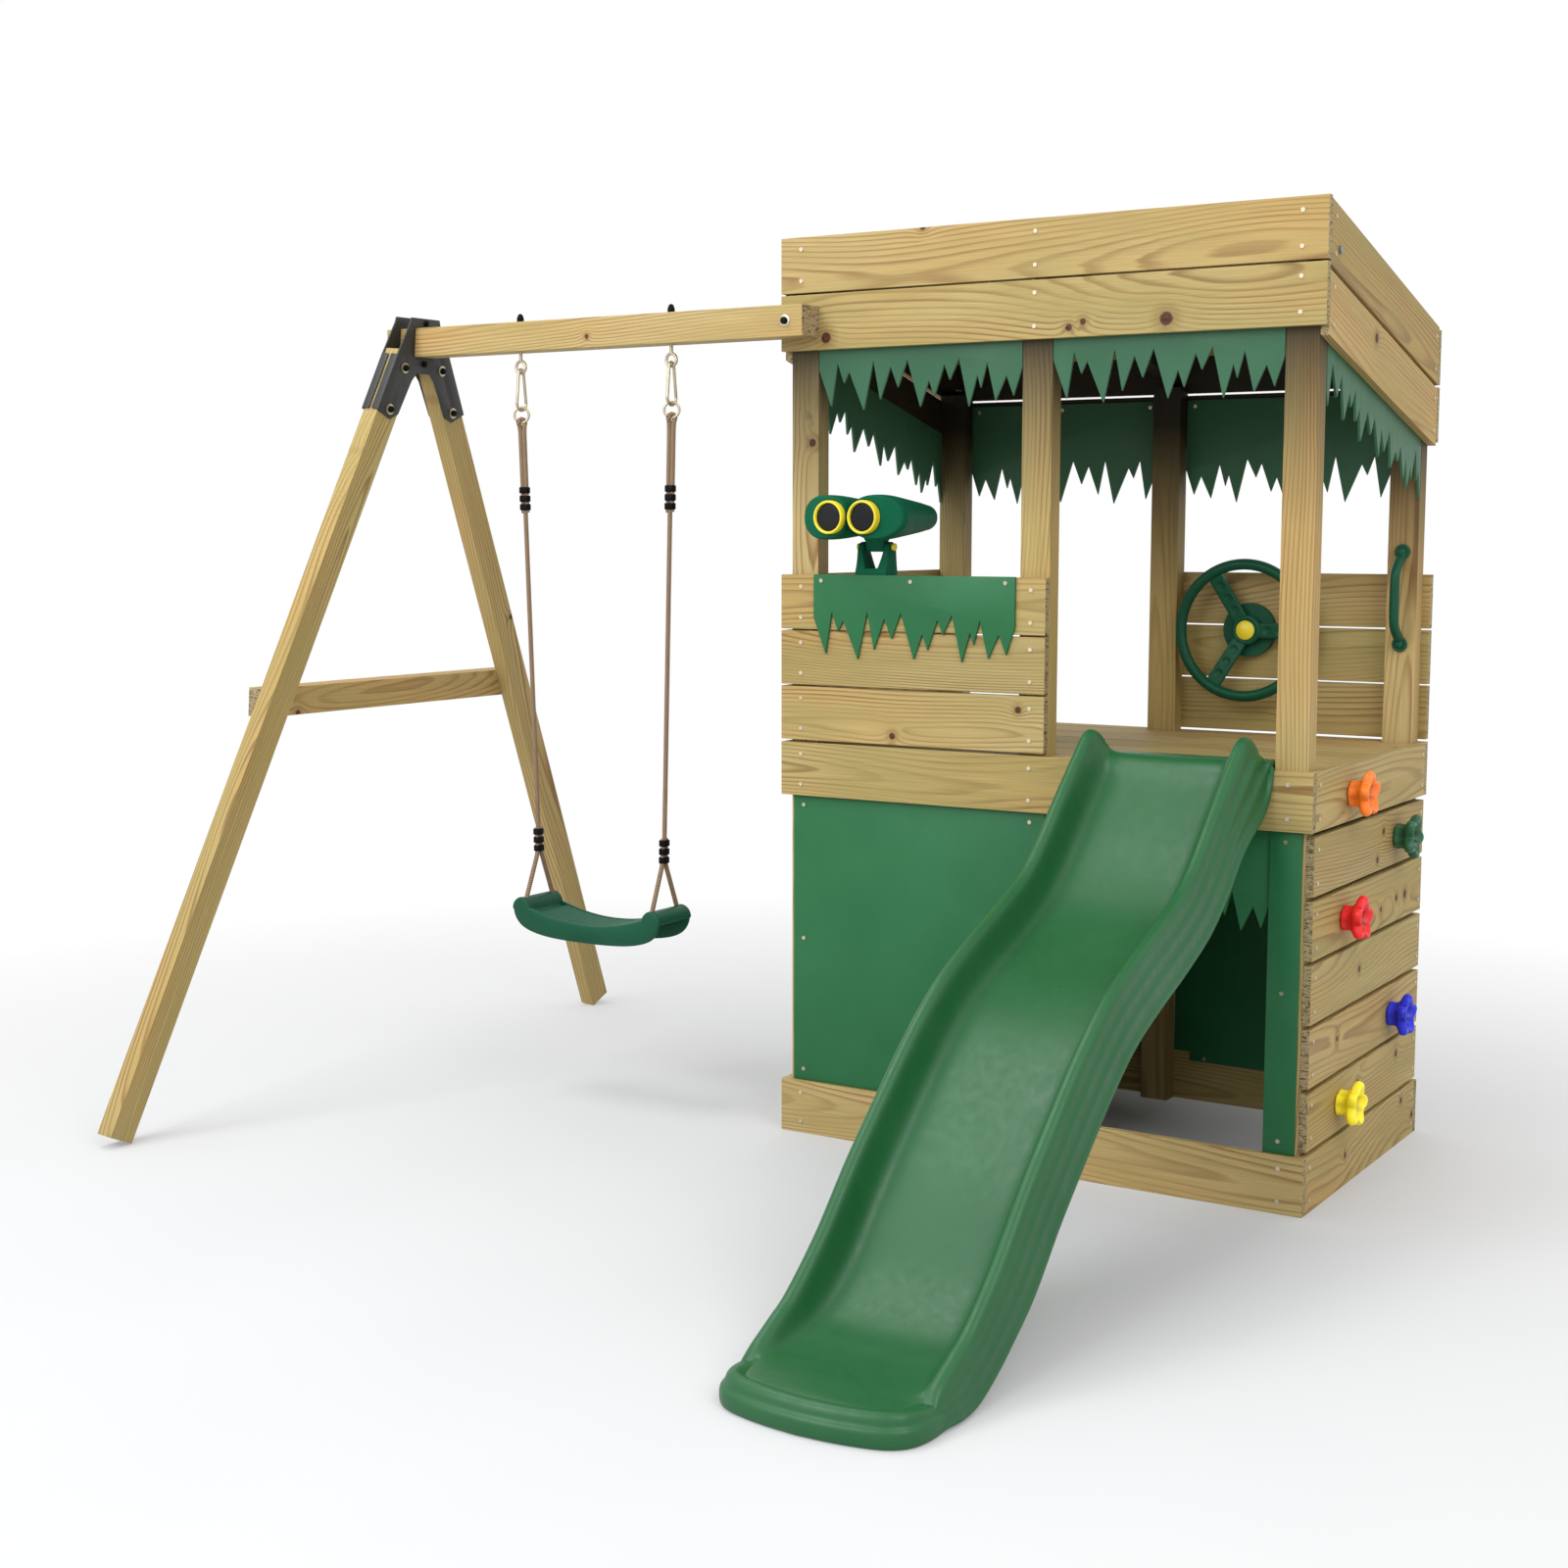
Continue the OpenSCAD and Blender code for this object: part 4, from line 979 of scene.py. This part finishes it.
def make_handle():
    """Bowed grab handle: a round bar between two flat pads, each with a domed fixing."""
    lo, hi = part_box("grab_handle")
    x, wall = (lo[0] + hi[0]) / 2, hi[1]
    bar = 0.0105
    out = lo[1] + bar
    low, high = lo[2] + 0.0172, hi[2] - 0.0172
    reach = wall - 0.006
    route = [(reach, high - 0.006), (reach - 0.006, high - 0.013), (out + 0.020, high - 0.026),
             (out + 0.004, high - 0.044), (out, high - 0.066)]
    centre = (low + high) / 2
    route += [(out, centre)] + [(y, 2 * centre - z) for y, z in reversed(route)]
    points = [Vector(p) for p in spline([(x, y, z) for y, z in route], 8)]
    geo = Geometry()
    rows = []
    for i, p in enumerate(points):
        before, after = around(points, i)
        along = (after - before).normalized()
        side = along.cross(Vector((1, 0, 0))).normalized()
        rows.append([p + bar * (math.cos(a) * Vector((1, 0, 0)) + math.sin(a) * side)
                     for a in turns(24)])
    geo.grid(rows, close_cols=True)
    for z in (low, high):
        lathe(geo, (x, wall - 0.0003, z), (0, -1, 0), [
            (16.5, 0), (16.8, 1.2), (16.8, 6.8), (16, 8.5), (14.5, 9.2), (12, 8.2), (9.8, 8),
            (9.4, 12.5), (8, 15), (5, 16.8), (1.5, 17.3)], 32)
    handle = new_piece("grab_handle_shape", geo, DARK_GREEN, "tower",
                       ("grab_handle",))
    crease(handle, 1e-7, 50)


make_handle()


# ---- binoculars

BINO = Vector((-0.388, 0.0, 1.397))
LENS_SIDE = 0.042
LENS_SEAT = 0.0375

# Down one half: y, centre offset, half width, half height, all in millimetres
BINO_ROWS = [
    (-137, 63, 57, 44), (-131, 64, 60, 47), (-112, 64.5, 61, 48.3), (-92, 63.5, 59, 48),
    (-66, 62, 56, 46.5), (-30, 59.5, 51, 43.2), (20, 56, 44, 38.5), (70, 53, 37, 33.5),
    (105, 51, 32, 29), (116, 51, 30, 27.5), (119.5, 51, 26, 24),
]


def bino_half(side):
    """One barrel with its front face, lens seat and eyepiece."""
    geo = Geometry()
    segments = 40
    rows = []
    for y, offset, wide, tall in spline(BINO_ROWS, 4):
        row = []
        for a in turns(segments):
            ca, sa = math.cos(a), math.sin(a)
            px = bulge(ca, 2 / 2.5) * wide
            pz = bulge(sa, 2 / 2.5) * tall
            # The outer side is lower than the inner side, and swept back at the front
            outer = max(0.0, px / wide)
            pz *= 1 - 0.22 * outer ** 2
            sweep = 21 * outer ** 1.6 * unit((-60 - y) / 77)
            row.append(Vector((BINO.x + side * (offset + px) / 1000, (y + sweep) / 1000,
                               BINO.z + pz / 1000)))
        rows.append(row)
    start = geo.grid(rows, close_cols=True)
    front = rows[0]
    centre = Vector((BINO.x + side * LENS_SIDE, -0.137, BINO.z))
    previous = front
    for share in (0.35, 0.75, 1.0):
        ring = []
        for p in front:
            a = math.atan2(p.z - centre.z, p.x - centre.x)
            goal = centre + Vector((math.cos(a), 0, math.sin(a))) * LENS_SEAT
            ring.append(p.lerp(goal, share))
        geo.grid([ring, previous], close_cols=True)
        previous = ring
    seat = [Vector((p.x, -0.130, p.z)) for p in previous]
    geo.cap(geo.grid([seat, previous], close_cols=True), segments)
    geo.cap(start + (len(rows) - 1) * segments, segments)
    # Eyepiece ring at the rear
    lathe(geo, (BINO.x + side * 0.053, 0.112, BINO.z), (0, 1, 0), [
        (23.5, 0), (23.5, 6.5), (21.5, 7.8), (18, 7.8), (16, 4)], 40)
    name = "binocular_half_left" if side < 0 else "binocular_half_right"
    replaced = ("binocular_body",) if side < 0 else ()
    obj = new_piece(name, geo, TOY_GREEN, "binoculars", replaced)
    weld(obj, 1e-6)
    round_off(obj)


def make_binoculars():
    """Both barrels, the bridge and stem between them, the lens rings and the lenses."""
    for side in (-1, 1):
        bino_half(side)
    geo = Geometry()
    # Bridge between the halves and the stem down to the pivot
    rounded_box(geo, (BINO.x - 0.045, -0.085, BINO.z - 0.030),
                (BINO.x + 0.045, 0.075, BINO.z + 0.030), 0.012)
    x, y = BINO.x, -0.011
    rows = []
    for z, wide, deep in ((1.3225, 0.0240, 0.0060), (1.3235, 0.0248, 0.0085),
                          (1.333, 0.0248, 0.0118), (1.345, 0.0250, 0.0130),
                          (1.353, 0.0275, 0.0190), (1.362, 0.033, 0.030), (1.385, 0.038, 0.045)):
        row = []
        for a in turns(24):
            ca, sa = math.cos(a), math.sin(a)
            row.append(Vector((x + bulge(ca, 0.45) * wide, y + bulge(sa, 0.45) * deep, z)))
        rows.append(row)
    start = geo.grid(rows, close_cols=True)
    geo.cap(start, 24, True)
    obj = new_piece("binocular_stem", geo, TOY_GREEN, "binoculars")
    crease(obj, 1e-6, 50)
    rings = Geometry()
    glass = Geometry()
    for side in (-1, 1):
        origin = (BINO.x + side * LENS_SIDE, -0.132, BINO.z)
        lathe(rings, origin, (0, -1, 0), [
            (36, 0), (36.1, 15), (35.2, 18.8), (33.2, 20), (31.2, 19.2), (30.2, 16.5),
            (30, 2)], 64)
        lathe(glass, origin, (0, -1, 0), [
            (30.2, 0), (30.2, 13), (29, 14.1), (24, 14.6), (14, 15.1), (4, 15.3)], 64)
    ring = new_piece("lens_rings", rings, YELLOW, "binoculars",
                     ("binocular_lenses",))
    lens = new_piece("lens_discs", glass, LENS, "binoculars")
    for o in (ring, lens):
        crease(o, 1e-6, 45)


def slab(geo, levels, corner=0.0016):
    """Upright block with rounded corners; levels are (z, x0, x1, y0, y1) from the bottom up."""
    rows = []
    for z, x0, x1, y0, y1 in levels:
        r = min(corner, (x1 - x0) / 2.2, (y1 - y0) / 2.2)
        rows.append([Vector((x + r * ca, y + r * sa, z))
                     for x, y, ca, sa in corner_arcs(x0, x1, y0, y1, r, 3)])
    geo.tube(rows)


def make_bracket():
    """Block with a see-through notch; its two ears carry the binoculars' bolt."""
    geo = Geometry()
    base = 1.2710
    slab(geo, [(base, BINO.x - 0.0388, BINO.x + 0.0388, -0.0395, 0.0130),
               (base + 0.0080, BINO.x - 0.0388, BINO.x + 0.0388, -0.0395, 0.0130),
               (base + 0.0150, BINO.x - 0.0386, BINO.x + 0.0386, -0.0375, 0.0120)])
    # Height, inner and outer reach across, front and back of one ear, in millimetres
    ear = [(14, 14.5, 38.6, -37.5, 12), (22, 17.5, 38.5, -35, 11), (36, 21.5, 38.4, -32, 9.5),
           (50, 25.6, 38.2, -30.5, 8.5), (60, 26.2, 38, -29, 7), (66, 26.2, 38, -26, 4),
           (70, 26.4, 37.6, -22, 0), (72.6, 27.2, 36.8, -17, -5), (73.4, 28.5, 35.5, -14, -8)]
    for side in (-1, 1):
        levels = []
        for z, x_in, x_out, y0, y1 in ear:
            xs = sorted((BINO.x + side * x_in / 1000, BINO.x + side * x_out / 1000))
            levels.append((base + z / 1000, xs[0], xs[1], y0 / 1000, y1 / 1000))
        slab(geo, levels)
    bracket = new_piece("binocular_bracket_shape", geo, TOY_GREEN, "tower",
                        ("binocular_bracket",))
    crease(bracket, 1e-7, 30)


make_binoculars()
make_bracket()


# ---- swing

SEAT = Vector((-1.1055, -0.074, 0))
SEAT_HALF = 0.066
ROLL_X = 0.191
ROLL_Z = 0.469
ROLL_R = 0.024
SEAT_LOW = 0.438
SEAT_SAG = 0.037


def seat_floor(x):
    """Height of the sagging seat at a distance from its middle."""
    return SEAT_LOW + SEAT_SAG * (x / ROLL_X) ** 2


def roll_arc(first, sweep, steps):
    """Points round the right-hand roll as (x, z), from a first angle in degrees."""
    arc = []
    for k in range(steps + 1):
        a = math.radians(first + sweep * k / steps)
        arc.append((ROLL_X + ROLL_R * math.cos(a), ROLL_Z + ROLL_R * math.sin(a)))
    return arc


def seat_profile():
    """Top of the seat from one roll to the other as (x, z): round each roll, then the sag."""
    points = roll_arc(-8, 188, 12)
    inner = ROLL_X - ROLL_R
    points.append((inner - 0.004, ROLL_Z - 0.013))
    for k in range(1, 17):
        x = (inner - 0.012) * (1 - k / 16)
        points.append((x, seat_floor(x)))
    return points + [(-x, z) for x, z in reversed(points) if x > 1e-6]


def skirt_outline():
    """Front face of the seat: rolls on top, one deep curved edge below."""
    upper = roll_arc(0, 180, 10)
    for k in range(15):
        x = (ROLL_X - ROLL_R - 0.006) * (1 - k / 14)
        upper.append((x, seat_floor(x) + 0.004))
    lower = spline([(0.215, 0.468), (0.2125, 0.453), (0.204, 0.437), (0.187, 0.422),
                    (0.158, 0.411), (0.115, 0.4035), (0.06, 0.4), (0.0, 0.399)], 3)
    right = upper + [(-x, z) for x, z in reversed(upper[:-1])]
    under = [(-x, z) for x, z in lower[1:]] + [(x, z) for x, z in reversed(lower[1:-1])]
    return right + under


def make_seat():
    """Ribbed moulded seat with a roll at each end and a deep skirt front and back."""
    geo = Geometry()
    across = 89
    rows = []
    for x, z in seat_profile():
        row = []
        on_floor = abs(x) < ROLL_X - ROLL_R - 0.010
        for j in range(across):
            v = (j / (across - 1) - 0.5) * 2
            ribbed = on_floor and abs(v) < 0.86
            rib = 0.0040 * abs(math.cos(v * 2.5 * TAU)) ** 0.7 if ribbed else 0
            rim = 0.003 if on_floor and abs(v) > 0.93 else 0
            row.append(Vector((SEAT.x + x, SEAT.y + v * (SEAT_HALF - 0.001),
                               z - 0.003 + rib + rim)))
        rows.append(row)
    geo.grid(rows)
    top = new_piece("seat_top", geo, DARK_GREEN, "swing", ("swing_seat",))
    add_modifier(top, "SOLIDIFY", thickness=0.004, offset=0.0)
    round_off(top)
    skirts = Geometry()
    kept = []
    for p in skirt_outline():
        if not kept or math.dist(p, kept[-1]) > 0.0015:
            kept.append(p)
    for side in (-1, 1):
        rows = []
        for y, inset in ((0.0, 0.0035), (0.0012, 0.0012), (0.0035, 0.0), (0.0075, 0.0)):
            row = []
            for i, (x, z) in enumerate(kept):
                a = Vector(kept[i - 1])
                b = Vector(kept[(i + 1) % len(kept)])
                n = Vector((-(b - a).y, (b - a).x)).normalized()
                q = Vector((x, z)) + n * inset
                row.append(Vector((SEAT.x + q.x, SEAT.y + side * (SEAT_HALF - y), q.y)))
            rows.append(row)
        start = skirts.grid(rows, close_cols=True)
        skirts.cap(start, len(kept))
        skirts.cap(start + 3 * len(kept), len(kept), True)
    skirt = new_piece("seat_skirts", skirts, DARK_GREEN, "swing")
    crease(skirt, 1e-6, 60)


make_seat()


def twisted(geo, strand_shades, route, radius, pitch=0.0140, strands=3, segments=18):
    """A twisted rope along a polyline: a lobed section that turns as it goes.
    Each vertex's place between two strands goes into the given list, which sets the painted shade
    between the strands."""
    step = pitch / 10
    points = []
    for a, b in zip(route, route[1:]):
        n = max(1, round((b - a).length / step))
        points.extend(a.lerp(b, k / n) for k in range(n))
    points.append(route[-1])
    x = None
    walked = 0.0
    rows = []
    for i, p in enumerate(points):
        before, after = around(points, i)
        t = (after - before).normalized()
        if x is None:
            x = frame_of(t)[0]
        x = (x - t * x.dot(t)).normalized()
        y = t.cross(x)
        if i:
            walked += (p - points[i - 1]).length
        turn = TAU * walked / pitch
        row = []
        for a in turns(segments):
            lobe = abs(math.cos(strands * (a - turn) / 2))
            r = radius * (0.78 + 0.22 * lobe)
            strand_shades.append(1 - lobe)
            row.append(p + (x * math.cos(a) + y * math.sin(a)) * r)
        rows.append(row)
    geo.tube(rows)


HANGERS = (-1.3265, -0.8905)
RING_Z = 1.6405
RING_R = 0.0175
CLAMP_TOP = 1.471
CLAMP_LOW = 0.653
SPLIT = 0.598
STRAND = 0.0060


def make_ropes():
    """The two ropes: doubled through the top ring, single, then split to the seat."""
    for side, top_x in zip((-1, 1), HANGERS):
        low_x = SEAT.x + side * 0.187
        seat_x = SEAT.x + side * 0.186
        slope = (low_x - top_x) / (RING_Z - CLAMP_LOW)

        def at(z, dx=0.0, dy=0.0):
            return Vector((top_x + slope * (RING_Z - z) + dx, SEAT.y + dy, z))

        geo = Geometry()
        strand_shades = []
        # Loop over the ring's lower wire
        loop = []
        base = RING_Z - RING_R
        for k in range(9):
            a = math.pi * k / 8
            loop.append(Vector((top_x + math.cos(a) * 0.0080 * 0.55,
                                SEAT.y + math.cos(a) * 0.0080 * 0.84,
                                base + math.sin(a) * 0.0085 - 0.001)))
        gap = STRAND * 0.9
        right = [at(CLAMP_TOP - 0.060, gap), at(1.56, gap), at(1.607, gap, 0.001)]
        left = [at(1.607, -gap, -0.001), at(1.56, -gap), at(CLAMP_TOP - 0.062, -gap)]
        route = right + loop + left
        smooth = [Vector(p) for p in spline([tuple(p) for p in route], 4)]
        twisted(geo, strand_shades, smooth, STRAND)
        twisted(geo, strand_shades, [at(CLAMP_TOP - 0.045), at(CLAMP_LOW - 0.01)], STRAND * 0.98)
        for dy in (-1, 1):
            leg = [at(CLAMP_LOW + 0.003, 0, dy * STRAND), at(SPLIT, 0, dy * STRAND),
                   at(SPLIT - 0.012, 0, dy * (STRAND + 0.004)),
                   Vector((seat_x, SEAT.y + dy * 0.050, 0.488)),
                   Vector((seat_x, SEAT.y + dy * 0.0515, 0.476))]
            twisted(geo, strand_shades, leg, STRAND * 0.98)
        name = "rope_left" if side < 0 else "rope_right"
        obj = new_piece(name, geo, ROPE, "swing", ("ropes",) if side < 0 else ())
        # Where the shade between the strands is painted
        attribute = obj.data.attributes.new("strand_shade", "FLOAT", "POINT")
        attribute.data.foreach_set("value", strand_shades)
        weld(obj, 1e-7)


make_ropes()


# ---- bolts of the frame

APEX = Vector((-1.6295, -0.074, 1.821))
LEAN = math.radians(4.8)
SPLAY = math.radians(25)
LEG_T = 0.044
PLATE = 0.004
BAR_DOWN = 0.862
WASHER = 1.8  # thickness in mm
IN_PLANE = Matrix.Rotation(LEAN, 4, "Y")


def bolt_set(black, pale, origin, axis, grip):
    """Washers and black caps at both ends of one bolt; grip is the clamped thickness."""
    axis = Vector(axis).normalized()
    for p, d in ((Vector(origin), axis), (Vector(origin) - axis * grip, -axis)):
        lathe(pale, p, d, [(12.5, 0), (13, 0.3), (13, 1.4), (12, WASHER), (6, WASHER)], 32)
        lathe(black, p + d * (WASHER / 1000), d, [
            (7.8, 0), (8, 0.6), (8, 4), (6.8, 6.2), (4.5, 7.4), (1.5, 7.8)], 24)


def make_frame_bolts():
    """Bolts of the A-frame's head, its crossbar, the beam's end and the side fascia."""
    black, pale = Geometry(), Geometry()
    axis = IN_PLANE @ Vector((1, 0, 0))
    for side in (-1, 1):
        for down in (0.069, 0.180):
            local = Vector((PLATE, side * (0.038 + down * math.sin(SPLAY)),
                            -down * math.cos(SPLAY)))
            bolt_set(black, pale, APEX + IN_PLANE @ local, axis, LEG_T + 2 * PLATE)
        # Screws that hold the crossbar, from its far side
        place = APEX + IN_PLANE @ Vector((-2 * LEG_T, side * 0.425, -BAR_DOWN))
        lathe(pale, place, -axis, [(11, 0), (11.3, 0.3), (11.3, 1.4), (10.5, 1.8), (6, 1.8)], 32)
        lathe(black, place - axis * (WASHER / 1000), -axis, [
            (7.4, 0), (7.5, 0.6), (7.5, 4.2), (6, 6.2), (1.5, 7)], 24)
    for up in (0.048, -0.050):
        lathe(black, APEX + IN_PLANE @ Vector((PLATE, 0, up)), axis, [
            (7.2, 0), (7.4, 0.6), (7.4, 4), (6, 5.8), (1.5, 6.6)], 24)
    bolt_set(black, pale, (-0.5655, -0.108, 1.821), (0, -1, 0), 0.130)
    caps = new_piece("bolt_caps", black, BLACK, "tower", ("frame_bolts",))
    washers = new_piece("bolt_washers", pale, ZINC, "tower")
    head = Geometry()
    lathe(head, (0.6175, 0.024, 1.907), (1, 0, 0), [(8.5, 0), (8.5, 4.8), (7.2, 5.5), (3, 5.5)], 6)
    fascia_bolt = new_piece("fascia_bolt", head, BOLT_HEAD, "tower")
    for o in (caps, washers, fascia_bolt):
        crease(o, 1e-7, 40)


make_frame_bolts()


def make_hanger_caps():
    """Black cap nuts of the two hanger bolts, on top of the beam."""
    geo = Geometry()
    for x in HANGERS:
        lathe(geo, (x, SEAT.y, 1.8570), (0, 0, 1), [
            (8.2, 0), (8.4, 0.5), (8.4, 8.5), (7.2, 12.5), (5.8, 16), (4, 18.5), (1.5, 19.5)], 28)
    caps = new_piece("hanger_caps", geo, BLACK, "tower")
    crease(caps, 1e-7, 50)


make_hanger_caps()


# ---- stage and light

FLOOR_HALF = 80.0


def make_stage():
    """Pale floor that turns to plain white away from the object."""
    s = Shader("floor_look")
    p = s.coords()
    away = s.length(s.vec("SUBTRACT", p, (-0.4, -0.3, 0)))
    cloud = s.noise(p, 1.5, 2.0)
    base = s.mix(s.remap(cloud, 0.3, 0.7), (0.545, 0.548, 0.552), (0.56, 0.563, 0.567))
    glow = s.remap(away, 0.9, 3.6, 0.0, 1.0)
    s.finish(Base_Color=base, Roughness=0.9, Specular_IOR_Level=0.1)
    shine = s.node("Emission")
    shine.inputs["Color"].default_value = (1, 1, 1, 1)
    shine.inputs["Strength"].default_value = 1.0
    blend = s.node("MixShader")
    s.put(blend.inputs[0], glow)
    s.put(blend.inputs[1], s.bsdf.outputs[0])
    s.put(blend.inputs[2], shine.outputs[0])
    out = s.tree.nodes["Material Output"]
    s.put(out.inputs["Surface"], blend.outputs[0])
    mesh = bpy.data.meshes.new("floor")
    corners = [(x * FLOOR_HALF, y * FLOOR_HALF, 0) for x, y in ((-1, -1), (1, -1), (1, 1), (-1, 1))]
    mesh.from_pydata(corners, [], [(0, 1, 2, 3)])
    floor = add_object("floor", mesh)
    mesh.materials.append(s.mat)


LOOK_AT = (-0.3, 0, 0.9)


def area_light(name, place, target, size, power, colour=(1, 1, 1)):
    """A square soft light that faces its target."""
    data = bpy.data.lights.new(name, "AREA")
    data.energy = power
    data.size = size
    data.color = colour
    light = add_object(name, data)
    light.location = place
    direction = Vector(target) - Vector(place)
    light.rotation_euler = direction.to_track_quat("-Z", "Y").to_euler()


def make_light():
    """White surroundings, a large soft front light and two smaller ones."""
    world = bpy.data.worlds.new("studio")
    bpy.context.scene.world = world
    world.use_nodes = True
    back = world.node_tree.nodes["Background"]
    back.inputs["Color"].default_value = (1, 1, 1, 1)
    back.inputs["Strength"].default_value = 1.0
    area_light("key_light", (-2.3, -6.6, 5.1), LOOK_AT, 5.0, 350, (0.96, 0.99, 1.04))
    area_light("top_light", (-1.85, -1.15, 4.2), (0.2, -0.9, 0.3), 1.5, 48)
    area_light("side_light", (4.6, -3.0, 5.0), (0.6, 0.2, 0.4), 3.5, 160)


make_stage()
make_light()
bpy.context.scene.view_settings.view_transform = "Standard"
